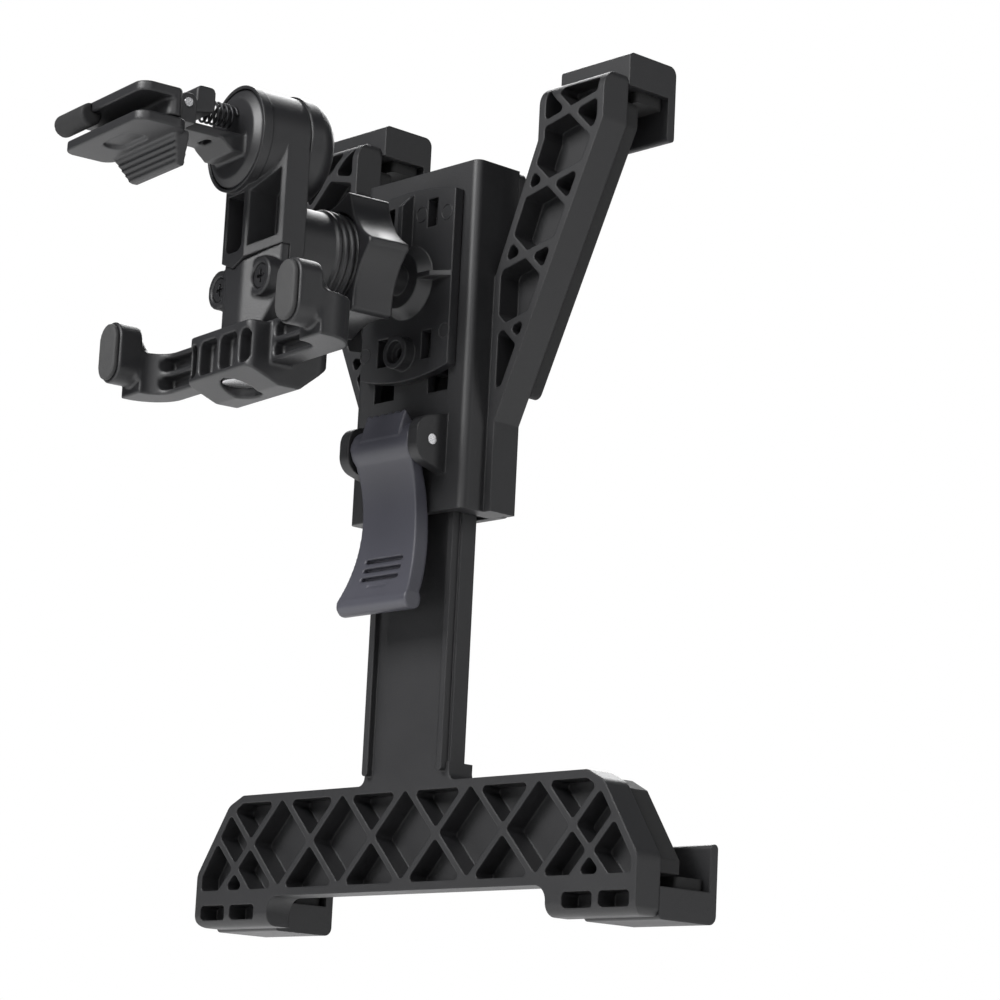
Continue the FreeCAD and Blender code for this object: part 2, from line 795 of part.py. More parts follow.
def make_rear_cap():
    body = new_body("rear_cap", ARM_FRAME)
    wall = size.cap_wall
    end = arm_back + size.cap_depth

    def dome(radius, top, flat):
        bend_y = arm_back + size.cap_straight
        middle_y = float(bend_y) + (float(top) - float(bend_y)) * DOME_SHARE
        middle_r = float(flat) + (float(radius) - float(flat)) * DOME_SHARE
        return path(
            ((arm_back, 0), (arm_back, radius)),
            ((arm_back, radius), (bend_y, radius)),
            ((bend_y, radius), (middle_y, middle_r), (top, flat)),
            ((top, flat), (top, 0)),
            ((top, 0), (arm_back, 0)),
        )

    turned(body, "dome", [dome(size.cap_radius, end, size.cap_flat_radius)], size.head_rise)
    hollow = dome(size.cap_radius - wall, end - wall, size.cap_flat_radius - wall)
    turned(body, "hollow", [hollow], size.head_rise, "PartDesign::Groove")


def make_lower_block():
    body = new_body("lower_block", ARM_FRAME)
    front = arm_back - size.block_nose
    half = size.arm_half
    plan = outline(
        (-half, shell_front), (-half, arm_back - size.arm_side_depth),
        (-size.block_nose_half, front, size.block_nose_half),
        (size.block_nose_half, front, size.block_nose_half),
        (half, arm_back - size.arm_side_depth), (half, shell_front),
    )
    pad(body, "block", "XY_Plane", [plan], -size.block_low, 0)
    above_seam = outline(
        (-half, 0), (-half, seam_height(half)), (0, seam_height(0)), (half, seam_height(half)), (half, 0)
    )
    pocket(body, "above_seam", "XZ_Plane", [above_seam], front, shell_front)
    for name, side in SIDES:
        spare = outline(
            (side * half, -size.block_shoulder), (side * half, -size.block_low),
            (side * size.block_foot_half, -size.block_low),
        )
        pocket(body, f"taper_{name}", "XZ_Plane", [spare], front, shell_front)
    face = shell_front - size.boss_length
    bosses = []
    recesses = []
    holes = []
    for name, side in SIDES:
        boss = (side * size.boss_offset, -size.boss_drop)
        bosses.append(circle(*boss, size.boss_radius))
        recesses.append(circle(*boss, size.recess_radius))
        holes.append(circle(*boss, size.screw_radius + size.screw_gap))
    pad(body, "bosses", "XZ_Plane", bosses, face, shell_front)
    pocket(body, "recesses", "XZ_Plane", recesses, front, face + size.recess_depth)
    pocket(body, "screw_holes", "XZ_Plane", holes, face, shell_front)
    bore = circle(0, fork_pin_y, size.fork_pin_radius)
    pocket(body, "pin_bore", "XY_Plane", [bore], -size.block_low, size.fork_pin_grip - size.block_low)


def make_block_screws():
    """Two cross-recess screws that share one node."""
    seat = shell_front - size.boss_length + size.recess_depth
    screws = []
    for name, side in SIDES:
        screw = doc.addObject("PartDesign::Body", f"block_screw_{name}")
        place = (side * size.boss_offset, -size.boss_drop)
        top = seat - size.screw_head_height
        pad(screw, "head", "XZ_Plane", [circle(*place, size.screw_head_radius)], top, seat)
        pad(screw, "shank", "XZ_Plane", [circle(*place, size.screw_radius)], seat, seat + size.screw_length)
        for index, (length, width) in enumerate(((size.cross_length, size.cross_width),
                                                 (size.cross_width, size.cross_length))):
            slot = rectangle(
                place[0] - length / 2, place[0] + length / 2, place[1] - width / 2, place[1] + width / 2
            )
            pocket(screw, f"cross_{index}", "XZ_Plane", [slot], top, top + size.cross_depth)
        screws.append(screw)
    group = doc.addObject("Part::Compound", "block_screws")
    group.Label = "block_screws"
    group.Links = screws
    group.Placement = ARM_FRAME
    sub_parts.append(group)


def make_fork_pin():
    body = new_body("fork_pin", ARM_FRAME)
    low = hub_low + size.hub_keel_front
    pin = circle(0, fork_pin_y, size.fork_pin_radius)
    pad(body, "pin", "XY_Plane", [pin], low, size.fork_pin_grip - size.block_low)
    flange = circle(0, fork_pin_y, size.fork_flange_radius)
    pad(body, "flange", "XY_Plane", [flange], low - size.fork_flange_thick, low)


def make_fork_foot():
    body = new_body("fork_foot", ARM_FRAME)
    corner = size.hub_corner
    half = size.hub_half
    hub = outline(
        (-half, -size.hub_front, corner / 2), (half, -size.hub_front, corner / 2),
        (half, -size.hub_back, corner), (-half, -size.hub_back, corner),
    )
    pad(body, "hub", "XY_Plane", [hub], hub_low, hub_top)
    keel_front = outline(
        (-size.hub_front, hub_low), (-size.hub_front, hub_low + size.hub_keel_front),
        (size.hub_keel_run - size.hub_front, hub_low),
    )
    keel_back = outline(
        (-size.hub_back, hub_low), (-size.hub_back, hub_low + size.hub_keel_back),
        (-size.hub_back - size.hub_keel_run, hub_low),
    )
    pocket(body, "keel", "YZ_Plane", [keel_front, keel_back], -half, half)
    prong_top = -size.prong_top
    prong_low = prong_top - size.prong_height
    low_z = -size.pad_drop - size.pad_height / 2
    high_z = -size.pad_drop + size.pad_height / 2
    for name, side in SIDES:
        outer_x = side * (size.pad_offset + size.pad_width / 2)
        inner_x = side * (size.pad_offset - size.pad_width / 2)
        root_x = side * (half - corner)
        block_back = pad_block_front + size.pad_block_depth
        prong = outline(
            (root_x, -size.prong_back), (outer_x, -size.prong_back, size.prong_bend),
            (outer_x, block_back), (inner_x, block_back),
            (inner_x, prong_front, size.prong_inner_bend), (root_x, prong_front),
        )
        pad(body, f"prong_{name}", "XY_Plane", [prong], prong_low, prong_top)
        end = rectangle(inner_x, outer_x, low_z, high_z, size.pad_width / 2 - size.corner_slack)
        pad(body, f"pad_block_{name}", "XZ_Plane", [end], pad_block_front, block_back)
        channel_mid = (prong_low + prong_top) / 2
        channels = []
        start_x = side * (half + size.channel_rim)
        end_x = inner_x - side * size.channel_rim
        for low, high in (
            (prong_low + size.channel_rim, channel_mid - size.channel_rib / 2),
            (channel_mid + size.channel_rib / 2, prong_top - size.channel_rim),
        ):
            channels.append(rectangle(start_x, end_x, low, high, size.channel_rim * 0.8))
        pocket(body, f"channels_{name}", "XZ_Plane", channels, block_back, prong_front + size.channel_depth)
        rib = size.hub_pocket_rib
        inner_end = rib / 2 + size.hub_inner_pocket
        top = hub_top - size.hub_pocket_edge
        low = hub_low + size.hub_keel_front + size.hub_pocket_edge / 2
        pockets = [
            rectangle(side * rib / 2, side * inner_end, low, top, rib),
            rectangle(side * (inner_end + rib), side * (half - rib / 2), low, top, rib),
        ]
        floor = -size.hub_front + size.hub_pocket_depth
        pocket(body, f"hub_pockets_{name}", "XZ_Plane", pockets, -size.hub_front, floor)
    bore = circle(0, fork_pin_y, size.fork_pin_radius + size.pin_gap)
    pocket(body, "pin_bore", "XY_Plane", [bore], hub_low, hub_top)
    sink = circle(0, fork_pin_y, size.fork_flange_radius + size.running_gap)
    sink_top = hub_low + size.hub_keel_front + size.running_gap
    pocket(body, "flange_sink", "XY_Plane", [sink], hub_low, sink_top)


def make_fork_pads():
    inset = size.pad_rubber_inset
    for name, side in SIDES:
        body = new_body(f"fork_pad_{name}", ARM_FRAME)
        face = rectangle(
            side * size.pad_offset - size.pad_width / 2 + inset,
            side * size.pad_offset + size.pad_width / 2 - inset,
            -size.pad_drop - size.pad_height / 2 + inset, -size.pad_drop + size.pad_height / 2 - inset,
            size.pad_width / 2 - inset - size.corner_slack,
        )
        pad(body, "face", "XZ_Plane", [face], -size.pad_face, pad_block_front)


def make_clamp_nut():
    body = new_body("clamp_nut", ARM_FRAME)
    lobes = int(float(size.nut_lobes))
    step = 360 / lobes

    def around(radius, angle):
        turn = math.radians(angle)
        return (float(radius) * math.cos(turn), float(radius) * math.sin(turn))

    pieces = []
    for lobe in range(lobes):
        angle = float(size.nut_turn) + step * lobe
        flat = float(size.nut_tip_angle)
        start = around(size.nut_tip_radius, angle + flat)
        end = around(size.nut_tip_radius, angle + step - flat)
        pieces.append((around(size.nut_tip_radius, angle - flat), start))
        pieces.append((start, around(size.nut_valley_radius, angle + step / 2), end))
    pad(body, "lobes", "XZ_Plane", [path(*pieces)], -size.nut_front, size.nut_rear)
    bore = circle(0, 0, thread_radius + size.running_gap)
    pocket(body, "thread_bore", "XZ_Plane", [bore], -size.nut_front, size.nut_seat)
    rear = float(size.nut_rear)
    low = float(size.nut_seat)
    radius = float(seat_radius)
    middle = (rear + low) / 2

    def at(y):
        return (y, math.sqrt(radius ** 2 - y ** 2))

    seat = path(
        ((low, 0), at(low)), (at(low), at(middle), at(rear)), (at(rear), (rear, 0)), ((rear, 0), (low, 0))
    )
    turned(body, "seat", [seat], 0, "PartDesign::Groove")


make_arm_body()
make_rear_cap()
make_lower_block()
make_block_screws()
make_fork_pin()
make_fork_foot()
make_fork_pads()
make_clamp_nut()

# Stations of the cradle, from the ball: back is +Y, up is +Z
plate_front = size.ball_to_plate
plate_back = plate_front + size.plate_thick
housing_front = plate_back + size.slide_gap
channel_front = housing_front + size.housing_wall
panel_front = channel_front + size.hook_room
panel_back = panel_front + size.panel_thick
channel_half = size.flange_half + size.running_gap
housing_back = housing_front + size.housing_depth
yoke_front = housing_front + size.yoke_set_back
yoke_back = yoke_front + size.yoke_depth
pad_plane = yoke_back + size.pad_thick
beam_back = panel_front + size.beam_depth
lever_y = housing_front - size.lever_stand
lever_z = -size.lever_drop
beam_hip_z = size.beam_hip_rise - size.beam_low
beam_shoulder_half = size.beam_half - size.beam_shoulder_inset
beam_top_half = beam_shoulder_half - size.beam_top_inset
cam_turn = math.radians(float(size.cam_angle))
cam_reach = size.cam_offset * math.cos(cam_turn) + size.cam_radius
shoe_front = lever_y + cam_reach + size.shoe_gap
clip_end = pad_plane + size.jaw_clip_reach


# Ball liners and adapter plate
def make_ball_liner(label, inner_angle, outer_angle, direction):
    """Ring of a hollow sphere, between two angles from the ball's axis."""
    body = new_body(label, CRADLE_FRAME)
    small = size.ball_radius + size.ball_gap
    large = small + size.liner_thick

    def at(radius, angle):
        turn = math.radians(angle)
        return (direction * float(radius) * math.cos(turn), float(radius) * math.sin(turn))

    inner = float(inner_angle)
    outer = float(outer_angle)
    middle = (inner + outer) / 2
    ring = path(
        (at(small, inner), at(large, inner)),
        (at(large, inner), at(large, middle), at(large, outer)),
        (at(large, outer), at(small, outer)),
        (at(small, outer), at(small, middle), at(small, inner)),
    )
    turned(body, "ring", [ring])


def make_adapter_plate():
    body = new_body("adapter_plate", CRADLE_FRAME)
    half = size.plate_half
    low = -size.plate_low
    high = size.plate_high
    blank = path(
        ((-half, low), (0, low - size.plate_low_arc), (half, low)),
        ((half, low), (half, high)),
        ((half, high), (0, high + size.plate_high_arc), (-half, high)),
        ((-half, high), (-half, low)),
    )
    pad(body, "plate", "XZ_Plane", [blank], plate_front, plate_back)
    ball = float(size.ball_radius)
    stem = float(size.stem_radius)
    neck = math.sqrt(ball ** 2 - stem ** 2)
    collar = plate_front - size.collar_length
    stud = path(
        ((-ball, 0), (0, ball), (neck, stem)),
        ((neck, stem), (collar, stem)),
        ((collar, stem), (collar, size.collar_nose_radius)),
        ((collar, size.collar_nose_radius), (plate_front, size.collar_radius)),
        ((plate_front, size.collar_radius), (plate_front, 0)),
        ((plate_front, 0), (-ball, 0)),
    )
    turned(body, "stud", [stud])
    windows = []
    for name, side in SIDES:
        left = side * size.window_inner
        right = side * (size.window_inner + size.window_width)
        top = size.window_low + size.window_height
        windows.append(rectangle(left, right, size.window_low, top))
        windows.append(rectangle(left, right, -top, -size.window_low))
    pocket(body, "windows", "XZ_Plane", windows, plate_front, plate_back)
    fin_front = plate_front - size.fin_proud
    fin = outline(
        (plate_front, size.collar_nose_radius), (fin_front, size.collar_nose_radius),
        (fin_front, size.fin_shoulder), (plate_front, high + size.plate_high_arc / 2),
    )
    pad(body, "fin", "YZ_Plane", [fin], -size.fin_thick / 2, size.fin_thick / 2)
    for name, side in SIDES:
        rib = outline(
            (side * size.collar_nose_radius, plate_front),
            (side * size.collar_nose_radius, plate_front - size.rib_proud),
            (side * (half + size.collar_nose_radius) / 2, plate_front - size.rib_proud),
            (side * half, plate_front),
        )
        pad(body, f"rib_{name}", "XY_Plane", [rib], -size.rib_thick / 2, size.rib_thick / 2)
    boss_face = plate_front - size.plate_boss_proud
    boss_z = -size.plate_boss_drop
    pad(body, "boss", "XZ_Plane", [circle(0, boss_z, size.plate_boss_radius)], boss_face, plate_front)
    recess = circle(0, boss_z, size.plate_boss_recess)
    pocket(body, "boss_recess", "XZ_Plane", [recess], boss_face, plate_front - size.plate_boss_floor)
    pocket(body, "boss_hole", "XZ_Plane", [circle(0, boss_z, size.plate_boss_hole)], boss_face, plate_back)
    necks = []
    heads = []
    for name, side in SIDES:
        for lift in (0, size.hook_pitch):
            foot = lift - size.hook_low
            left = side * size.hook_inner
            right = side * (size.hook_inner + size.hook_width)
            necks.append(rectangle(left, right, foot, foot + size.hook_neck))
            heads.append(rectangle(left, right, foot, foot + size.hook_height))
    head_front = channel_front + size.running_gap
    pad(body, "hook_necks", "XZ_Plane", necks, plate_back, head_front + size.hook_thick)
    pad(body, "hook_heads", "XZ_Plane", heads, head_front, head_front + size.hook_thick)


# Lattice of ribs inside an outline
def clip_by_line(corners, normal, offset):
    """Part of a polygon where the distance along the normal is at least the offset."""
    kept = []
    for index, here in enumerate(corners):
        before = corners[index - 1]
        height_before = normal.dot(before) - offset
        height_here = normal.dot(here) - offset
        if (height_before < 0) != (height_here < 0):
            share = height_before / (height_before - height_here)
            kept.append(before + (here - before) * share)
        if height_here >= 0:
            kept.append(here)
    return kept


def soft_loop(corners, radius):
    """Closed loop with rounded corners, each no larger than its two sides allow."""
    tidy = [
        here for index, here in enumerate(corners) if (here - corners[index - 1]).Length > radius / 4
    ]
    rounded = []
    for index, here in enumerate(tidy):
        before = tidy[index - 1] - here
        after = tidy[(index + 1) % len(tidy)] - here
        room = 0.45 * min(before.Length, after.Length)
        rounded.append((here.x, here.y, min(radius, room * math.tan(before.getAngle(after) / 2))))
    return outline(*rounded)


def polygon_area(corners):
    return abs(sum(corners[i - 1].x * c.y - c.x * corners[i - 1].y for i, c in enumerate(corners))) / 2


def lattice_cells(region, families):
    """Pockets left in a region by two families of ribs, each an angle and its points."""
    cells = [region]
    half_rib = float(size.lattice_rib) / 2
    for angle, points in families:
        turn = math.radians(angle)
        normal = Vector(-math.sin(turn), math.cos(turn), 0)
        offsets = sorted(normal.dot(place) for place in points)
        split = []
        for cell in cells:
            for low, high in zip([None] + offsets, offsets + [None]):
                piece = cell
                if low is not None:
                    piece = clip_by_line(piece, normal, low + half_rib)
                if high is not None and piece:
                    piece = clip_by_line(piece, normal * -1, -(high - half_rib))
                if len(piece) > 2:
                    split.append(piece)
        cells = split
    return [cell for cell in cells if polygon_area(cell) > float(size.lattice_smallest)]


def mirrored(corners):
    return [Vector(-corner.x, corner.y, 0) for corner in reversed(corners)]


# Cradle
def yoke_outline(inset, low):
    """Corners of the right arm, inside a border, down to the given height."""
    outer = size.yoke_outer - inset
    inner = size.yoke_inner + inset
    side = size.housing_half + inset
    lean = (float(size.yoke_outer) - float(size.yoke_foot_half)) / (
        float(size.yoke_shoulder) + float(size.yoke_foot_top))
    slant = float(inset) * math.hypot(1, lean)
    shoulder = float(size.yoke_shoulder) - (float(inset) - slant) / lean
    foot = max(float(low), -float(size.yoke_foot_top) + (float(size.housing_half) + float(inset)
                                                         + slant - float(size.yoke_foot_half)) / lean)
    foot_x = float(size.yoke_foot_half) + (foot + float(size.yoke_foot_top)) * lean - slant
    return [
        point(side, foot), point(foot_x, foot), point(outer, shoulder), point(outer, size.yoke_top - inset),
        point(inner, size.yoke_top - inset), point(inner, size.yoke_elbow), point(side, 0),
    ]


def make_cradle_body():
    body = new_body("cradle_body", CRADLE_FRAME)
    half = size.housing_half
    low = -size.housing_low
    plan = outline(
        (-half, housing_front, size.housing_edge), (half, housing_front, size.housing_edge),
        (half, housing_back), (-half, housing_back),
    )
    pad(body, "housing", "XY_Plane", [plan], low, size.housing_top)
    arms = []
    for name, side in SIDES:
        arms.append(outline(
            (side * channel_half, low), (side * size.yoke_foot_half, low),
            (side * size.yoke_foot_half, -size.yoke_foot_top),
            (side * size.yoke_outer, size.yoke_shoulder, size.yoke_corner),
            (side * size.yoke_outer, size.yoke_top, size.yoke_corner),
            (side * size.yoke_inner, size.yoke_top, size.yoke_corner),
            (side * size.yoke_inner, size.yoke_elbow, size.yoke_corner),
            (side * half, 0), (side * channel_half, 0),
        ))
    pad(body, "arms", "XZ_Plane", arms, yoke_front, yoke_back)
    channel = rectangle(-channel_half, channel_half, channel_front, yoke_back)
    pocket(body, "channel", "XY_Plane", [channel], low, size.housing_top - size.housing_wall)
    cover_room = rectangle(-half, half, low, size.housing_top)
    pocket(body, "cover_room", "XZ_Plane", [cover_room], housing_back, yoke_back)
    region = yoke_outline(size.yoke_border, -size.yoke_foot_top)
    crossings = [
        point(size.yoke_cross_x - size.yoke_step_x * step, size.yoke_cross_z - size.yoke_step_z * step)
        for step in range(-1, 5)
    ]
    cells = lattice_cells(region, (
        (float(size.yoke_flat_angle), crossings), (float(size.yoke_steep_angle), crossings)
    ))
    loops = [soft_loop(cell, float(size.lattice_corner)) for cell in cells]
    loops += [soft_loop(mirrored(cell), float(size.lattice_corner)) for cell in cells]
    pocket(body, "lattice", "XZ_Plane", loops, yoke_front, yoke_back - size.yoke_web)
    crown = edge_round(yoke_front, size.yoke_top, size.yoke_crown, -size.yoke_crown)
    pocket(body, "crown", "YZ_Plane", [crown], -size.yoke_outer, size.yoke_outer)
    slots = []
    for name, side in SIDES:
        for lift in (0, size.hook_pitch):
            foot = lift - size.hook_low - size.unlock_travel - size.running_gap
            top = lift - size.hook_low - size.unlock_travel + size.hook_height + size.running_gap
            inner = side * (size.hook_inner - size.running_gap)
            slots.append(rectangle(inner, inner + side * size.slot_width, foot, top))
    pocket(body, "hook_slots", "XZ_Plane", slots, housing_front, channel_front)
    shoe_room = size.shoe_half_height + size.running_gap
    opening = rectangle(-size.ear_inner, size.ear_inner, lever_z - shoe_room, lever_z + shoe_room)
    pocket(body, "shoe_opening", "XZ_Plane", [opening], housing_front, channel_front)
    ear = outline(
        (channel_front, -size.ear_top),
        (lever_y - size.ear_nose, lever_z + size.ear_nose, size.ear_nose * NOSE_ROUND),
        (lever_y - size.ear_nose, lever_z - size.ear_nose, size.ear_nose * NOSE_ROUND),
        (channel_front, -size.ear_low),
    )
    pad(body, "ear_right", "YZ_Plane", [ear], size.ear_inner, size.ear_inner + size.ear_thick)
    pad(body, "ear_left", "YZ_Plane", [ear], -size.ear_inner - size.ear_thick, -size.ear_inner)
    bore = circle(lever_y, lever_z, size.lever_pin_radius)
    ear_outer = size.ear_inner + size.ear_thick
    pocket(body, "lever_bore", "YZ_Plane", [bore], -ear_outer, ear_outer)
    holes = [circle(*place, size.cover_screw_radius + size.screw_gap) for place in cover_screw_places()]
    hole_low = housing_back + size.cover_thick - size.cover_head_height - size.cover_screw_length
    pocket(body, "cover_holes", "XZ_Plane", holes, hole_low, housing_back)


def cover_screw_places():
    return [
        (side * size.cover_screw_x, height)
        for name, side in SIDES for height in (size.cover_screw_top, -size.cover_screw_low)
    ]


def make_housing_cover():
    body = new_body("housing_cover", CRADLE_FRAME)
    half = size.housing_half
    low = -size.housing_low
    blank = rectangle(-half, half, low, size.housing_top, size.housing_edge)
    pad(body, "panel", "XZ_Plane", [blank], housing_back, housing_back + size.cover_thick)
    rails = []
    for name, side in SIDES:
        inner = side * size.cover_rail_inner
        rails.append(rectangle(
            inner, inner + side * size.cover_rail_width, low, size.housing_top - size.housing_wall
        ))
    pad(body, "rails", "XZ_Plane", rails, panel_back + size.running_gap, housing_back)
    back = housing_back + size.cover_thick
    sinks = [circle(*place, size.cover_head_radius + size.screw_gap) for place in cover_screw_places()]
    pocket(body, "screw_sinks", "XZ_Plane", sinks, back - size.cover_head_height, back)
    holes = [circle(*place, size.cover_screw_radius + size.screw_gap) for place in cover_screw_places()]
    pocket(body, "screw_holes", "XZ_Plane", holes, housing_back, back)


def make_cover_screws():
    """Four cover screws that share one node."""
    back = housing_back + size.cover_thick
    seat = back - size.cover_head_height
    screws = []
    for index, place in enumerate(cover_screw_places()):
        screw = doc.addObject("PartDesign::Body", f"cover_screw_{index}")
        pad(screw, "head", "XZ_Plane", [circle(*place, size.cover_head_radius)], seat, back)
        shank = circle(*place, size.cover_screw_radius)
        pad(screw, "shank", "XZ_Plane", [shank], seat - size.cover_screw_length + size.screw_gap, seat)
        slot = rectangle(
            place[0] - size.cross_length / 2, place[0] + size.cross_length / 2,
            place[1] - size.cross_width / 2, place[1] + size.cross_width / 2,
        )
        pocket(screw, "slot", "XZ_Plane", [slot], back - size.cross_depth, back)
        screws.append(screw)
    group = doc.addObject("Part::Compound", "cover_screws")
    group.Label = "cover_screws"
    group.Links = screws
    group.Placement = CRADLE_FRAME
    sub_parts.append(group)


def make_upper_pads():
    """Rubber strips on the back of the arms."""
    for name, side in SIDES:
        body = new_body(f"pad_upper_{name}", CRADLE_FRAME)
        corners = yoke_outline(size.pad_inset, -size.yoke_foot_top)
        top = float(size.upper_clip_low - size.jaw_liner_thick - size.running_gap)
        corners = [point(corner.x, min(corner.y, top)) for corner in corners]
        if side < 0:
            corners = mirrored(corners)
        pad(body, "strip", "XZ_Plane", [soft_loop(corners, float(size.yoke_corner))], yoke_back, pad_plane)


def make_jaw_clip(label, start, low_x, high_x, floor, outward, thick):
    """Hook that reaches over an edge: a floor, a lip and a nub; outward is +1 for up."""
    body = new_body(label, CRADLE_FRAME)
    far = floor + outward * thick
    lip_end = floor - outward * size.jaw_clip_lip_length
    hook = outline(
        (start, floor), (start, far, size.jaw_clip_round / 2), (clip_end, far, size.jaw_clip_round),
        (clip_end, lip_end, size.jaw_clip_lip * LIP_ROUND),
        (clip_end - size.jaw_clip_lip, lip_end, size.jaw_clip_lip * LIP_ROUND),
        (clip_end - size.jaw_clip_lip, floor),
    )
    pad(body, "hook", "YZ_Plane", [hook], low_x, high_x)
    nub_far = far - outward * size.jaw_clip_round
    nub = outline(
        (clip_end - size.jaw_clip_lip / 2, nub_far),
        (clip_end + size.jaw_nub_proud, nub_far, size.jaw_clip_round / 2),
        (clip_end + size.jaw_nub_proud, nub_far - outward * size.jaw_nub_height, size.jaw_clip_round / 2),
        (clip_end - size.jaw_clip_lip / 2, nub_far - outward * size.jaw_nub_height),
    )
    middle = (low_x + high_x) / 2
    pad(body, "nub", "YZ_Plane", [nub], middle - size.jaw_nub_half, middle + size.jaw_nub_half)


def make_jaw_liner(label, low_x, high_x, floor, outward):
    """Rubber liner that lies on a hook's floor."""
    body = new_body(label, CRADLE_FRAME)
    inset = size.jaw_liner_inset
    level = floor - outward * size.jaw_liner_thick
    low = floor if outward < 0 else level
    high = level if outward < 0 else floor
    sheet_plan = rectangle(
        low_x + inset, high_x - inset, pad_plane, clip_end - size.jaw_clip_lip, size.jaw_clip_round / 2
    )
    pad(body, "liner", "XY_Plane", [sheet_plan], low, high)


def make_corner_hooks():
    width = size.jaw_clip_width
    lower_outer = size.beam_half + size.lower_clip_overhang
    for name, side in SIDES:
        upper_low = size.upper_clip_inner if side > 0 else -(size.upper_clip_inner + width)
        lower_low = lower_outer - width if side > 0 else -lower_outer
        upper_floor = measure(size.upper_clip_low)
        lower_floor = -size.lower_clip_floor
        make_jaw_clip(
            f"clip_upper_{name}", yoke_back, upper_low, upper_low + width,
            upper_floor, 1, size.upper_clip_thick,
        )
        make_jaw_clip(
            f"clip_lower_{name}", beam_back, lower_low, lower_low + width,
            lower_floor, -1, size.lower_clip_thick,
        )
        make_jaw_liner(f"liner_upper_{name}", upper_low, upper_low + width, upper_floor, 1)
        make_jaw_liner(f"liner_lower_{name}", lower_low, lower_low + width, lower_floor, -1)


# Cam lever, its pin and the brake shoe
def make_lever_pin():
    body = new_body("lever_pin", CRADLE_FRAME)
    half = size.ear_inner + size.ear_thick
    pad(body, "pin", "YZ_Plane", [circle(lever_y, lever_z, size.lever_pin_radius)], -half, half)


def make_cam_lever():
    body = new_body("cam_lever", CRADLE_FRAME)
    cam_y = lever_y + size.cam_offset * math.cos(cam_turn)
    cam_z = lever_z - size.cam_offset * math.sin(cam_turn)
    barrel = circle(cam_y, cam_z, size.cam_radius)
    pad(body, "barrel", "YZ_Plane", [barrel], -size.lever_half, size.lever_half)
    thick = size.lever_thick
    waist_z = -size.lever_waist_drop
    tip_z = -size.lever_tip_drop
    waist_y = housing_front - size.lever_waist_proud
    tip_y = housing_front - size.lever_tip_proud
    root_y = cam_y - size.cam_radius
    tip_top = tip_z + thick
    tip_back = tip_y + thick * TIP_SHARE
    root_low = cam_z - size.cam_radius * ROOT_SHARE
    blade = path(
        ((root_y, cam_z), (waist_y, waist_z), (tip_y, tip_top)),
        ((tip_y, tip_top), (tip_y + thick * SLOT_ROUND, tip_z), (tip_back, tip_top)),
        ((tip_back, tip_top), (waist_y + thick, waist_z - thick / 2), (cam_y, root_low)),
        ((cam_y, root_low), (cam_y, cam_z)),
        ((cam_y, cam_z), (root_y, cam_z)),
    )
    pad(body, "blade", "YZ_Plane", [blade], -size.lever_tip_half, size.lever_tip_half)
    spare = size.lever_tip_half + thick
    for name, side in SIDES:
        flank = path(
            ((side * spare, cam_z + size.cam_radius), (side * size.lever_half, cam_z + size.cam_radius)),
            ((side * size.lever_half, cam_z + size.cam_radius), (side * size.lever_half, cam_z)),
            ((side * size.lever_half, cam_z), (side * size.lever_waist_half, waist_z),
             (side * size.lever_tip_half, tip_top)),
            ((side * size.lever_tip_half, tip_top), (side * spare, tip_top)),
            ((side * spare, tip_top), (side * spare, cam_z + size.cam_radius)),
        )
        pocket(body, f"flank_{name}", "XZ_Plane", [flank], tip_y - thick, housing_front)
    tab_y = housing_front - size.tab_proud
    tab = outline(
        (tab_y, -size.tab_top), (root_y, cam_z + size.cam_radius * TAB_ROOT_SHARE), (cam_y, cam_z),
        (cam_y, cam_z + size.cam_radius * ROOT_SHARE),
    )
    pad(body, "tab", "YZ_Plane", [tab], -size.tab_half, size.tab_half)
    grooves = []
    for step in range(3):
        height = -size.groove_drop - size.groove_pitch * step
        grooves.append(rectangle(
            -size.groove_half, size.groove_half,
            height - size.groove_height / 2, height + size.groove_height / 2,
            size.groove_height * SLOT_ROUND,
        ))
    pocket(body, "grooves", "XZ_Plane", grooves, tip_y - thick, tip_y + size.groove_reach)
    bore = circle(lever_y, lever_z, size.lever_pin_radius + size.pin_gap)
    pocket(body, "pin_bore", "YZ_Plane", [bore], -size.lever_half, size.lever_half)


def make_brake_shoe():
    body = new_body("brake_shoe", CRADLE_FRAME)
    half = size.ear_inner - size.running_gap
    face = rectangle(-half, half, lever_z - size.shoe_half_height, lever_z + size.shoe_half_height)
    pad(body, "shoe", "XZ_Plane", [face], shoe_front, panel_front - size.shoe_gap)


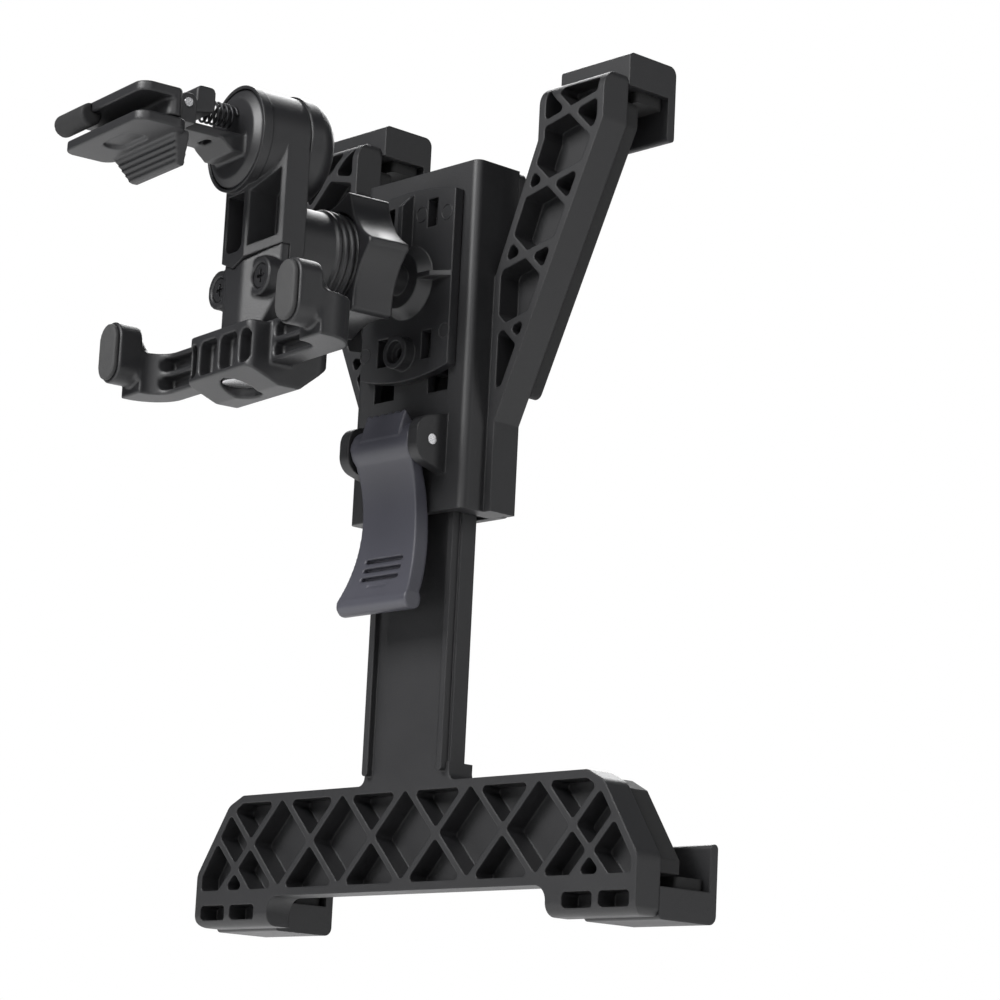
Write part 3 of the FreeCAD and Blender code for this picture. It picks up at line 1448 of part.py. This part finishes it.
# Slider
def make_jaw_slider():
    body = new_body("jaw_slider", CRADLE_FRAME)
    top = -size.beam_top
    low = -size.beam_low
    foot = -size.foot_low
    fillet = size.foot_fillet
    stub = top + size.stem_stub
    right = [
        (size.foot_inner, low, fillet), (size.foot_inner, foot), (size.beam_half, foot, fillet / 2),
        (size.beam_half, beam_hip_z, fillet),
        (beam_shoulder_half, top - size.beam_shoulder_drop, fillet),
        (beam_top_half, top, fillet / 2),
        (size.flange_half, top, size.stem_fillet), (size.flange_half, stub),
    ]
    left = [(-corner[0],) + tuple(corner[1:]) for corner in reversed(right)]
    pad(body, "beam", "XZ_Plane", [outline(*right, *left)], panel_front, beam_back)
    stem_top = -size.stem_top
    flange_front = panel_front + size.flange_set_back
    panel = outline(
        (-size.panel_half, panel_front), (size.panel_half, panel_front),
        (size.panel_half, flange_front), (size.flange_half, flange_front),
        (size.flange_half, panel_back), (-size.flange_half, panel_back),
        (-size.flange_half, flange_front), (-size.panel_half, flange_front),
    )
    pad(body, "panel", "XY_Plane", [panel], top, stem_top)
    ribs = []
    for name, side in SIDES:
        outer = side * size.panel_half
        ribs.append(rectangle(
            outer - side * size.edge_rib_width, outer, top + size.edge_rib_stop, stem_top,
            size.edge_rib_width * SLOT_ROUND,
        ))
    pad(body, "edge_ribs", "XZ_Plane", ribs, panel_front - size.edge_rib_proud, panel_front)
    border = size.beam_border
    inner_top = top - border
    inner_low = low + border
    end = [
        point(size.beam_half - border, inner_low),
        point(size.beam_half - border, beam_hip_z - border / 4),
        point(beam_shoulder_half - border / 2, top - size.beam_shoulder_drop - border),
        point(beam_top_half, inner_top),
    ]
    region = end + mirrored(end)
    count = int(float(size.beam_crossings))
    pitch = float(size.beam_pitch)
    places = [(index - (count - 1) / 2) * pitch for index in range(count)]
    cross_z = -float(size.beam_cross_z)
    rising = [point(x, cross_z) for x in places + [places[-1] + pitch / 2]]
    falling = [point(x, cross_z) for x in [places[0] - pitch / 2] + places]
    angle = float(size.beam_angle)
    cells = lattice_cells(region, ((angle, rising), (-angle, falling)))
    loops = [soft_loop(cell, float(size.lattice_corner)) for cell in cells]
    for name, side in SIDES:
        for step in (-0.5, 0.5):
            middle = side * size.foot_pocket_mid + size.foot_pocket_pitch * step
            loops.append(rectangle(
                middle - size.foot_pocket_width / 2, middle + size.foot_pocket_width / 2,
                -size.foot_pocket_drop - size.foot_pocket_height / 2,
                -size.foot_pocket_drop + size.foot_pocket_height / 2, size.lattice_corner,
            ))
    pocket(body, "lattice", "XZ_Plane", loops, panel_front, beam_back - size.beam_web)
    toe = edge_round(panel_front, foot, size.foot_round / 2, size.foot_round / 2)
    pocket(body, "toes", "YZ_Plane", [toe], -size.beam_half, size.beam_half)


def make_beam_pad():
    """Rubber strip on the back of the beam."""
    body = new_body("pad_beam", CRADLE_FRAME)
    inset = size.pad_inset
    low = jaw_liner_top() + size.running_gap
    top = -size.beam_top - inset
    half = size.beam_half - inset
    strip = outline(
        (-half, low), (half, low), (half, beam_hip_z - inset / 4),
        (beam_shoulder_half - inset / 2, top - size.beam_shoulder_drop), (beam_top_half, top),
        (-beam_top_half, top), (-beam_shoulder_half + inset / 2, top - size.beam_shoulder_drop),
        (-half, beam_hip_z - inset / 4),
    )
    pad(body, "strip", "XZ_Plane", [strip], beam_back, pad_plane)


def jaw_liner_top():
    return -size.lower_clip_floor + size.jaw_liner_thick


make_ball_liner("ball_liner_front", size.front_liner_inner_angle, size.front_liner_outer_angle, -1)
make_ball_liner("ball_liner_rear", size.rear_liner_inner_angle, size.rear_liner_outer_angle, 1)
make_adapter_plate()
make_cradle_body()
make_housing_cover()
make_cover_screws()
make_upper_pads()
make_corner_hooks()
make_lever_pin()
make_cam_lever()
make_brake_shoe()
make_jaw_slider()
make_beam_pad()

# Export
doc.recompute()
failed = []
for item in doc.Objects:
    if "Invalid" in item.State or "Error" in item.State:
        failed.append(item.Name)
    if item.TypeId in ("PartDesign::Pocket", "PartDesign::Groove"):
        if item.BaseFeature.Shape.Volume - item.Shape.Volume < 1e-3:
            failed.append(f"{item.Name} cuts nothing")
for item in sub_parts:
    if item.Shape.isNull() or not item.Shape.isValid():
        failed.append(f"{item.Label} has no valid shape")
if failed:
    raise RuntimeError("; ".join(failed))
os.makedirs("parts", exist_ok=True)
for item in sub_parts:
    item.Shape.exportStep(f"parts/{item.Label}.step")
print(len(sub_parts), "sub-parts written")
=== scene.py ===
"""Looks, light and camera for the air vent mount."""
import json
import math

import bmesh
import bpy
from mathutils import Matrix, Vector
from mathutils.bvhtree import BVHTree


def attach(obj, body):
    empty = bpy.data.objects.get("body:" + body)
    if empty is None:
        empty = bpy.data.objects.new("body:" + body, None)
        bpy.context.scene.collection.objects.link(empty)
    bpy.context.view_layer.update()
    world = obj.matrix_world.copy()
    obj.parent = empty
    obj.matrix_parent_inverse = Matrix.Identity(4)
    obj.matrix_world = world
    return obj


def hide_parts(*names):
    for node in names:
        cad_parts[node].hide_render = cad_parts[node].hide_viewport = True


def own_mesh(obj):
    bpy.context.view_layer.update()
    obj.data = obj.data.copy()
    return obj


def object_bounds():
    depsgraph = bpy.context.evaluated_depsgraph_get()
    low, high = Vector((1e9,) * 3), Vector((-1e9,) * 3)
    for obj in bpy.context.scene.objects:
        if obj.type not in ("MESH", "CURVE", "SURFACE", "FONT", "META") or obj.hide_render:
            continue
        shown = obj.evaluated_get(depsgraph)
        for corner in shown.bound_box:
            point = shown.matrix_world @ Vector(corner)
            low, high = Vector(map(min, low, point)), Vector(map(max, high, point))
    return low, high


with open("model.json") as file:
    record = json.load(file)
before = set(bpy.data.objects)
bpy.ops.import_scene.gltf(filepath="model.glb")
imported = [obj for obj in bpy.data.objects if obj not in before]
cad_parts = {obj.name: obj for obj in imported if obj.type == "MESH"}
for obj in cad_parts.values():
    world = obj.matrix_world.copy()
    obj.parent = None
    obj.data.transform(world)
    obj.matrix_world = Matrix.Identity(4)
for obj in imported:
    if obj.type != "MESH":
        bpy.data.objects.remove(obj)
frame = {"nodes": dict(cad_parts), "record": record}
CAD_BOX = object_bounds()
SCENE = bpy.context.scene
MM = 0.001

# What the record says of each piece: the body it rides on and its material slot
BODIES = {node: body for body, nodes in frame["record"]["behaviour"]["bodies"].items() for node in nodes}
SLOTS = {row["node"]: row["material_slot"] for row in frame["record"]["subparts"]}

# Camera, in the row frame: where it stands, which way it looks and how it is rolled
CAMERA_PLACE = Vector((0.5898, -0.3117, -0.2131))
CAMERA_AZIMUTH = math.radians(54.79)
CAMERA_ELEVATION = math.radians(-11.51)
CAMERA_ROLL = math.radians(2.766)
SENSOR_WIDTH = 36.0
FOCAL_RATIO = 3.25084

# Colours, in linear values
CHARCOAL = (0.0075, 0.0075, 0.0084, 1)
CRADLE_CHARCOAL = (0.0065, 0.0065, 0.0073, 1)
LEVER_CHARCOAL = (0.034, 0.034, 0.043, 1)
RUBBER_BLACK = (0.0045, 0.0045, 0.0048, 1)
DUSTY_BLACK = (0.0095, 0.0095, 0.0098, 1)
PAD_GREY = (0.020, 0.020, 0.0205, 1)
PALE_PAD_GREY = (0.038, 0.038, 0.038, 1)
BRIGHT_STEEL = (0.62, 0.62, 0.63, 1)
BLACK_STEEL = (0.035, 0.035, 0.037, 1)
FLOOR_WHITE = (0.9, 0.9, 0.9, 1)
SKY_TINT = (0.9, 0.93, 1.0, 1)
WHITE = (1, 1, 1, 1)
PALER = 1.35
DARKER = 0.75

# Scales of the noise in each finish, per metre
CLOUD_SCALE = 60.0
SPECKLE_SCALE = 2600.0
DUST_SCALE = 900.0
GRIT_SCALE = 4200.0
STAIN_SCALE = 400.0
TURNING_SCALE = 5200.0

# Depth of the grain and radius of the eased edges, in millimetres
PLASTIC_RELIEF = 0.06
RUBBER_RELIEF = 0.08
STEEL_RELIEF = 0.03
RUBBER_EDGE = 0.5
STEEL_EDGE = 0.15
EDGE_SAMPLES = 4

# Cradle frame: turned about the ball's upright axis
BALL_PLACE = Vector((0.0, 0.0605, -0.0201))
CRADLE_TURN = math.radians(7.3)
CRADLE = Matrix.Translation(BALL_PLACE) @ Matrix.Rotation(CRADLE_TURN, 4, "Z")
FAR_FRONT = -50
ROUND_STEPS = 10

# Lever's finger grooves and the notches of its tab, in millimetres from the ball
GROOVE_HEIGHTS = (-63.9, -66.0, -68.1)
GROOVE_HALF_LENGTH = 6.2
GROOVE_HALF_WIDTH = 0.5
GROOVE_DEPTH = 1.5
TAB_TOP = -30.8
TAB_EDGE = 0.1
TAB_NOTCHES = (-4.8, -2.4, 0.0, 2.4, 4.8)
NOTCH_RADIUS = 0.55
NOTCH_DEPTH = 2
CUTTER_LEAD = 4

# Round ejector marks on the adapter plate, as (across, height) in millimetres from the ball
PLATE_MARKS = ((12.2, 14.5), (-13.4, -15.0), (3.6, 15.4), (13.2, -13.0))
MARK_RADIUS = 1.7
MARK_WIRE = 0.16
WIRE_SIDES = 8
MARK_INPUTS = {
    "Ring Radius": "NodeSocketFloat",
    "Wire Radius": "NodeSocketFloat",
    "Tilt": "NodeSocketVector",
    "Finish": "NodeSocketMaterial",
}

# Sweep from each prong of the fork to its pad block, in millimetres from the ball
FLARE_START = -33.0
FLARE_END = -25.6
FLARE_TOP = -13.2
FLARE_FOOT = -19.7
FLARE_LOW = -26.0
FLARE_OFFSET = 37.4
FLARE_HALF = 4.1
FLARE_TAPER = 1.1
FLARE_STEPS = 12

# Easing of the moulded pieces' edges, with voxels in millimetres
EASED_NODES = ("fork_foot", "lower_block", "hook_jaw", "hook_sleeve", "clip_base", "clamp_nut",
               "fork_pad_left", "fork_pad_right")
EASE_VOXEL = 0.28
EASE_ROUNDS = 5
LEVER_VOXEL = 0.19
LEVER_ROUNDS = 2
EASE_FACTOR = 0.5
EASE_KEEP = 0.4
MERGE_DISTANCE = 0.001

# Spring: angle past which an edge stays sharp
CREASE = math.radians(32)

# Floor, in metres, and the world's light
FLOOR_DROP = 0.03
FLOOR_HALF = 3.0
FLOOR_ROUGHNESS = 0.8
FADE_START = 0.22
FADE_END = 0.55
SKY_STRENGTH = 0.09

# Soft lamps, as name, place, width, height and power
SOFTBOXES = (
    ("key_light", (0.05, -0.75, 0.45), 0.5, 0.5, 15.0),
    ("front_light", (0.75, -0.35, 0.45), 0.5, 0.3, 2.5),
    ("right_light", (0.60, 0.55, 0.12), 0.2, 0.8, 1.2),
    ("low_light", (0.55, -0.50, -0.14), 0.5, 0.2, 0.8),
    ("rear_light", (-0.60, 0.60, 0.60), 0.6, 0.6, 10.0),
)


# Shader expressions
class Socket:
    """A shader output; arithmetic on it adds Math nodes."""

    def __init__(self, shader, output):
        self.shader = shader
        self.output = output

    def maths(self, operation, first, second):
        return self.shader.node("ShaderNodeMath", {"operation": operation}, {0: first, 1: second})

    def __add__(self, other):
        return self.maths("ADD", self, other)

    def __mul__(self, other):
        return self.maths("MULTIPLY", self, other)

    def __sub__(self, other):
        return self.maths("SUBTRACT", self, other)

    def __radd__(self, other):
        return self.maths("ADD", other, self)

    def __rmul__(self, other):
        return self.maths("MULTIPLY", other, self)

    def __rsub__(self, other):
        return self.maths("SUBTRACT", other, self)


class Shader:
    """A node tree that is written as calls."""

    def __init__(self, tree):
        self.tree = tree
        self.tree.nodes.clear()

    def node(self, kind, settings=None, inputs=None, output=0):
        """Adds a node, sets it up, joins its inputs and returns one of its outputs."""
        made = self.tree.nodes.new(kind)
        for name, value in (settings or {}).items():
            setattr(made, name, value)
        for key, value in (inputs or {}).items():
            if isinstance(value, Socket):
                self.tree.links.new(value.output, made.inputs[key])
            else:
                made.inputs[key].default_value = value
        return Socket(self, made.outputs[output])

    def place(self):
        return self.node("ShaderNodeTexCoord", output="Object")

    def noise(self, scale, detail=3.0):
        inputs = {"Vector": self.place(), "Scale": scale, "Detail": detail}
        return self.node("ShaderNodeTexNoise", inputs=inputs)

    def mix_colour(self, share, first, second):
        """Colour between two; a Mix node keeps its colours in sockets 6 and 7 and its result in 2."""
        return self.node("ShaderNodeMix", {"data_type": "RGBA"}, {0: share, 6: first, 7: second}, 2)

    def mix_surface(self, share, first, second):
        return self.node("ShaderNodeMixShader", None, {0: share, 1: first, 2: second})

    def relief(self, height, strength, depth, edge):
        """Normal of a grained surface with eased edges; depth and edge are in millimetres."""
        eased = self.node("ShaderNodeBevel", {"samples": EDGE_SAMPLES}, {"Radius": edge * MM})
        inputs = {"Strength": strength, "Distance": depth * MM, "Height": height, "Normal": eased}
        return self.node("ShaderNodeBump", None, inputs)

    def principled(self, inputs):
        return self.node("ShaderNodeBsdfPrincipled", None, inputs)

    def finish(self, surface, kind="ShaderNodeOutputMaterial"):
        out = self.tree.nodes.new(kind)
        self.tree.links.new(surface.output, out.inputs["Surface"])


def new_material(name):
    material = bpy.data.materials.new(name)
    material.use_nodes = True
    return material, Shader(material.node_tree)


def tinted(colour, share):
    """The colour made paler or darker."""
    return tuple(value * share for value in colour[:3]) + (1,)


# Finishes
def moulded_plastic(name, colour, roughness, grain, edge):
    """Moulded plastic: fine spark grain, soft cloudy sheen and eased edges."""
    material, shader = new_material(name)
    clouds = shader.noise(CLOUD_SCALE)
    speckle = shader.noise(SPECKLE_SCALE, 2.0)
    shader.finish(shader.principled({
        "Base Color": shader.mix_colour(clouds * 0.5 + speckle * 0.25, colour, tinted(colour, PALER)),
        "Roughness": clouds * 0.10 + speckle * 0.08 + (roughness - 0.09),
        "Specular IOR Level": 0.5,
        "Normal": shader.relief(speckle, grain, PLASTIC_RELIEF, edge),
    }))
    return material


def soft_rubber(name, dark, pale):
    """Dull rubber with a dusty mottle."""
    material, shader = new_material(name)
    dust = shader.noise(DUST_SCALE, 4.0)
    grit = shader.noise(GRIT_SCALE, 1.0)
    shader.finish(shader.principled({
        "Base Color": shader.mix_colour(dust * 0.6 + grit * 0.3, dark, pale),
        "Roughness": dust * 0.12 + 0.66,
        "Specular IOR Level": 0.4,
        "Normal": shader.relief(grit, 0.5, RUBBER_RELIEF, RUBBER_EDGE),
    }))
    return material


def turned_steel(name, colour, roughness, metallic):
    """Steel with fine turning marks."""
    material, shader = new_material(name)
    marks = shader.noise(TURNING_SCALE, 2.0)
    stain = shader.noise(STAIN_SCALE)
    shader.finish(shader.principled({
        "Base Color": shader.mix_colour(stain * 0.4, colour, tinted(colour, DARKER)),
        "Roughness": marks * 0.12 + roughness,
        "Metallic": metallic,
        "Normal": shader.relief(marks, 0.3, STEEL_RELIEF, STEEL_EDGE),
    }))
    return material


FINISHES = {
    "charcoal_plastic": moulded_plastic("charcoal_plastic", CHARCOAL, 0.46, 0.35, 0.5),
    "cap_plastic": moulded_plastic("cap_plastic", CHARCOAL, 0.42, 0.3, 0.8),
    "nut_plastic": moulded_plastic("nut_plastic", CHARCOAL, 0.38, 0.25, 0.6),
    "cradle_plastic": moulded_plastic("cradle_plastic", CRADLE_CHARCOAL, 0.5, 0.4, 0.5),
    "lever_plastic": moulded_plastic("lever_plastic", LEVER_CHARCOAL, 0.42, 0.25, 0.7),
    "liner_plastic": moulded_plastic("liner_plastic", CHARCOAL, 0.4, 0.2, 0.2),
    "black_rubber": soft_rubber("black_rubber", RUBBER_BLACK, DUSTY_BLACK),
    "pad_rubber": soft_rubber("pad_rubber", PAD_GREY, PALE_PAD_GREY),
    "bright_steel": turned_steel("bright_steel", BRIGHT_STEEL, 0.22, 1.0),
    "dark_steel": turned_steel("dark_steel", BLACK_STEEL, 0.36, 0.7),
}


def paint(mesh, node):
    """Gives a mesh its piece's finish; the fork's pads are paler than the other rubber."""
    finish = "pad_rubber" if node.startswith("fork_pad") else SLOTS[node]
    mesh.materials.clear()
    mesh.materials.append(FINISHES[finish])


# Steps that several pieces share
def new_object(name, data):
    made = bpy.data.objects.new(name, data)
    SCENE.collection.objects.link(made)
    return made


def clean_copy(node):
    """The piece's own mesh, merged and placed in the shared frame."""
    source = frame["nodes"][node]
    mesh = source.data.copy()
    mesh.transform(source.matrix_world)
    work = bmesh.new()
    work.from_mesh(mesh)
    bmesh.ops.remove_doubles(work, verts=work.verts, dist=MERGE_DISTANCE * MM)
    bmesh.ops.recalc_face_normals(work, faces=work.faces)
    work.to_mesh(mesh)
    work.free()
    return mesh


def settle(piece):
    """Replaces a piece's mesh by what its modifiers make of it."""
    depsgraph = bpy.context.evaluated_depsgraph_get()
    mesh = bpy.data.meshes.new_from_object(piece.evaluated_get(depsgraph))
    piece.modifiers.clear()
    piece.data = mesh


def smooth(mesh):
    mesh.polygons.foreach_set("use_smooth", [True] * len(mesh.polygons))


def ease(piece, voxel, rounds):
    """Rounds every edge a little, as a mould does."""
    grid = piece.modifiers.new("grid", "REMESH")
    grid.mode = "VOXEL"
    grid.voxel_size = voxel * MM
    soften = piece.modifiers.new("soften", "SMOOTH")
    soften.factor = EASE_FACTOR
    soften.iterations = rounds
    thin = piece.modifiers.new("thin", "DECIMATE")
    thin.ratio = EASE_KEEP
    settle(piece)
    smooth(piece.data)


def declare(piece, node):
    """Puts a finished piece in the place of its plain shape."""
    paint(piece.data, node)
    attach(piece, BODIES[node])
    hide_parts(node)


def add_loft(work, rings):
    """Closed form through rings of points, each with the same count."""
    rows = [[work.verts.new(spot) for spot in ring] for ring in rings]
    work.faces.new(rows[0])
    work.faces.new(list(reversed(rows[-1])))
    for near, far in zip(rows, rows[1:]):
        for first in range(len(near)):
            second = (first + 1) % len(near)
            work.faces.new((near[second], near[first], far[first], far[second]))


def arc(across, height, radius, start, end):
    """Points about a centre, from one angle to another."""
    spots = []
    for step in range(ROUND_STEPS + 1):
        angle = start + (end - start) * step / ROUND_STEPS
        spots.append((across + radius * math.cos(angle), height + radius * math.sin(angle)))
    return spots


def surface_of(mesh):
    """Search tree of a mesh, for finding where a ray meets it."""
    work = bmesh.new()
    work.from_mesh(mesh)
    surface = BVHTree.FromBMesh(work)
    work.free()
    return surface


def front_face(surface, across, height):
    """Depth of a piece's front face at a place, in millimetres along the cradle's Y."""
    start = CRADLE @ (Vector((across, FAR_FRONT, height)) * MM)
    toward = CRADLE.to_3x3() @ Vector((0, 1, 0))
    hit = surface.ray_cast(start, toward)[0]
    return (CRADLE.inverted() @ hit).y / MM


# Lever with its engraved grooves
def groove_outline(height):
    """Slot with round ends."""
    reach = GROOVE_HALF_LENGTH - GROOVE_HALF_WIDTH
    quarter = math.pi / 2
    right_end = arc(reach, height, GROOVE_HALF_WIDTH, -quarter, quarter)
    left_end = arc(-reach, height, GROOVE_HALF_WIDTH, quarter, 3 * quarter)
    return right_end + left_end


def notch_outline(across):
    """Full circle on the tab's top edge; the points that its halves share come once."""
    upper = arc(across, TAB_TOP, NOTCH_RADIUS, 0, math.pi)
    lower = arc(across, TAB_TOP, NOTCH_RADIUS, math.pi, 2 * math.pi)
    return upper[:-1] + lower[:-1]


def add_cutter(work, outline, face, depth):
    """Form that reaches from in front of a face to a depth behind it, along the cradle's Y."""
    rings = []
    for level in (face - CUTTER_LEAD, face + depth):
        rings.append([CRADLE @ (Vector((x, level, z)) * MM) for x, z in outline])
    add_loft(work, rings)


def cut_away(piece, cutter):
    """Cuts one object out of another and removes it."""
    cut = piece.modifiers.new("cut", "BOOLEAN")
    cut.object = cutter
    cut.operation = "DIFFERENCE"
    cut.solver = "EXACT"
    settle(piece)
    bpy.data.objects.remove(cutter)


def add_lever():
    """Lever copied from its plain shape, with three grooves and a notched tab cut into it."""
    lever = new_object("grooved_lever", clean_copy("cam_lever"))
    surface = surface_of(lever.data)
    work = bmesh.new()
    for height in GROOVE_HEIGHTS:
        add_cutter(work, groove_outline(height), front_face(surface, 0, height), GROOVE_DEPTH)
    tab_face = front_face(surface, 0, TAB_TOP - TAB_EDGE)
    for across in TAB_NOTCHES:
        add_cutter(work, notch_outline(across), tab_face, NOTCH_DEPTH)
    bmesh.ops.recalc_face_normals(work, faces=work.faces)
    mesh = bpy.data.meshes.new("groove_cutter")
    work.to_mesh(mesh)
    work.free()
    cut_away(lever, new_object("groove_cutter", mesh))
    ease(lever, LEVER_VOXEL, LEVER_ROUNDS)
    declare(lever, "cam_lever")


# Ring marks on the adapter plate
def mark_tree():
    """Geometry nodes that set a thin ring on each point of a mesh, and their inputs' identifiers."""
    tree = bpy.data.node_groups.new("ejector_marks", "GeometryNodeTree")
    tree.interface.new_socket("Geometry", in_out="INPUT", socket_type="NodeSocketGeometry")
    inputs = {}
    for name, kind in MARK_INPUTS.items():
        made = tree.interface.new_socket(name, in_out="INPUT", socket_type=kind)
        inputs[name] = made.identifier
    tree.interface.new_socket("Geometry", in_out="OUTPUT", socket_type="NodeSocketGeometry")
    given = tree.nodes.new("NodeGroupInput")
    ring = tree.nodes.new("GeometryNodeCurvePrimitiveCircle")
    section = tree.nodes.new("GeometryNodeCurvePrimitiveCircle")
    section.inputs["Resolution"].default_value = WIRE_SIDES
    swept = tree.nodes.new("GeometryNodeCurveToMesh")
    spread = tree.nodes.new("GeometryNodeInstanceOnPoints")
    real = tree.nodes.new("GeometryNodeRealizeInstances")
    painted = tree.nodes.new("GeometryNodeSetMaterial")
    result = tree.nodes.new("NodeGroupOutput")
    links = (
        (given.outputs["Ring Radius"], ring.inputs["Radius"]),
        (given.outputs["Wire Radius"], section.inputs["Radius"]),
        (ring.outputs["Curve"], swept.inputs["Curve"]),
        (section.outputs["Curve"], swept.inputs["Profile Curve"]),
        (given.outputs["Geometry"], spread.inputs["Points"]),
        (swept.outputs["Mesh"], spread.inputs["Instance"]),
        (given.outputs["Tilt"], spread.inputs["Rotation"]),
        (spread.outputs["Instances"], real.inputs["Geometry"]),
        (real.outputs["Geometry"], painted.inputs["Geometry"]),
        (given.outputs["Finish"], painted.inputs["Material"]),
        (painted.outputs["Geometry"], result.inputs["Geometry"]),
    )
    for start, end in links:
        tree.links.new(start, end)
    return tree, inputs


def add_plate_marks():
    """Ring marks that the mould's ejector pins leave on the adapter plate."""
    surface = surface_of(clean_copy("adapter_plate"))
    spots = []
    for across, height in PLATE_MARKS:
        level = front_face(surface, across, height)
        spots.append(CRADLE @ (Vector((across, level, height)) * MM))
    mesh = bpy.data.meshes.new("mark_points")
    mesh.from_pydata(spots, [], [])
    marks = new_object("ejector_marks", mesh)
    rings = marks.modifiers.new("rings", "NODES")
    rings.node_group, inputs = mark_tree()
    rings[inputs["Ring Radius"]] = MARK_RADIUS * MM
    rings[inputs["Wire Radius"]] = MARK_WIRE * MM
    rings[inputs["Tilt"]] = (math.pi / 2, 0.0, CRADLE_TURN)
    rings[inputs["Finish"]] = FINISHES["charcoal_plastic"]
    settle(marks)
    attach(marks, "plate")


# Spring of the clip
def add_spring():
    """Coil copied from its plain shape, smoothed, with its sharp edges kept."""
    spring = new_object("closing_spring", clean_copy("clip_spring"))
    smooth(spring.data)
    spring.data.set_sharp_from_angle(angle=CREASE)
    declare(spring, "clip_spring")
    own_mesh(spring)


# Moulded pieces whose edges are eased all over
def flare_ring(share, side):
    """Arched section of a flare, at a share of the way from the pad block to the prong."""
    depth = FLARE_START + (FLARE_END - FLARE_START) * share
    half = FLARE_HALF - FLARE_TAPER * share
    top = FLARE_FOOT + (FLARE_TOP - FLARE_FOOT) * (1 - share) ** 2
    spots = [(half, FLARE_LOW), (-half, FLARE_LOW)] + arc(0, top - half, half, math.pi, 0)
    middle = side * FLARE_OFFSET
    return [BALL_PLACE + Vector((middle + x, depth, z)) * MM for x, z in spots]


def add_flares(mesh):
    """Hollow sweeps that carry each prong of the fork up into its pad block."""
    work = bmesh.new()
    work.from_mesh(mesh)
    for side in (1, -1):
        add_loft(work, [flare_ring(step / FLARE_STEPS, side) for step in range(FLARE_STEPS + 1)])
    bmesh.ops.recalc_face_normals(work, faces=work.faces)
    work.to_mesh(mesh)
    work.free()


def add_eased(node):
    piece = new_object("eased_" + node, clean_copy(node))
    if node == "fork_foot":
        add_flares(piece.data)
    ease(piece, EASE_VOXEL, EASE_ROUNDS)
    declare(piece, node)


# Stage, light and camera
def floor_white():
    """Matt white that fades to plain white far away and lets the camera look up through it."""
    material, shader = new_material("floor_white")
    matt = shader.principled({"Base Color": FLOOR_WHITE, "Roughness": FLOOR_ROUGHNESS})
    clear = shader.node("ShaderNodeBsdfTransparent")
    glow = shader.node("ShaderNodeEmission", None, {"Color": WHITE, "Strength": 1.0})
    underside = shader.node("ShaderNodeNewGeometry", output="Backfacing")
    seen = shader.node("ShaderNodeLightPath", output="Is Camera Ray")
    reach = shader.node("ShaderNodeVectorMath", {"operation": "LENGTH"}, {0: shader.place()}, "Value")
    limits = {"Value": reach, "From Min": FADE_START, "From Max": FADE_END}
    fade = shader.node("ShaderNodeMapRange", None, limits)
    pale = shader.mix_surface(fade * seen, matt, glow)
    shader.finish(shader.mix_surface(1 - underside * seen, clear, pale))
    return material


def add_floor():
    """Square floor a little below the object."""
    low = CAD_BOX[0][2] - FLOOR_DROP
    corners = [(-1, -1), (1, -1), (1, 1), (-1, 1)]
    mesh = bpy.data.meshes.new("floor")
    mesh.from_pydata([(x * FLOOR_HALF, y * FLOOR_HALF, low) for x, y in corners], [], [(0, 1, 2, 3)])
    mesh.materials.append(floor_white())
    new_object("floor", mesh)


def light_world():
    """White to the camera alone, faint soft light to everything else."""
    world = bpy.data.worlds.new("studio")
    SCENE.world = world
    world.use_nodes = True
    shader = Shader(world.node_tree)
    soft = shader.node("ShaderNodeBackground", None, {"Color": SKY_TINT, "Strength": SKY_STRENGTH})
    white = shader.node("ShaderNodeBackground", None, {"Color": WHITE, "Strength": 1.0})
    seen = shader.node("ShaderNodeLightPath", output="Is Camera Ray")
    shader.finish(shader.mix_surface(seen, soft, white), "ShaderNodeOutputWorld")


def add_softbox(name, place, width, height, power):
    """Rectangular lamp that faces the middle of the object."""
    lamp = bpy.data.lights.new(name, "AREA")
    lamp.shape = "RECTANGLE"
    lamp.size = width
    lamp.size_y = height
    lamp.energy = power
    middle = (Vector(CAD_BOX[0]) + Vector(CAD_BOX[1])) / 2
    box = new_object(name, lamp)
    box.location = place
    box.rotation_euler = (middle - Vector(place)).to_track_quat("-Z", "Y").to_euler()


def add_camera():
    lens = bpy.data.cameras.new("photo_camera")
    lens.sensor_width = SENSOR_WIDTH
    lens.lens = SENSOR_WIDTH * FOCAL_RATIO
    camera = new_object("photo_camera", lens)
    look = Vector((
        -math.sin(CAMERA_AZIMUTH) * math.cos(CAMERA_ELEVATION),
        math.cos(CAMERA_AZIMUTH) * math.cos(CAMERA_ELEVATION),
        -math.sin(CAMERA_ELEVATION),
    ))
    turn = look.to_track_quat("-Z", "Y").to_matrix().to_4x4()
    camera.matrix_world = Matrix.Translation(CAMERA_PLACE) @ turn @ Matrix.Rotation(CAMERA_ROLL, 4, "Z")
    SCENE.camera = camera


for cad_node in SLOTS:
    paint(frame["nodes"][cad_node].data, cad_node)
add_lever()
add_plate_marks()
add_spring()
for eased_node in EASED_NODES:
    add_eased(eased_node)
add_floor()
light_world()
for softbox in SOFTBOXES:
    add_softbox(*softbox)
add_camera()
SCENE.view_settings.view_transform = "Standard"
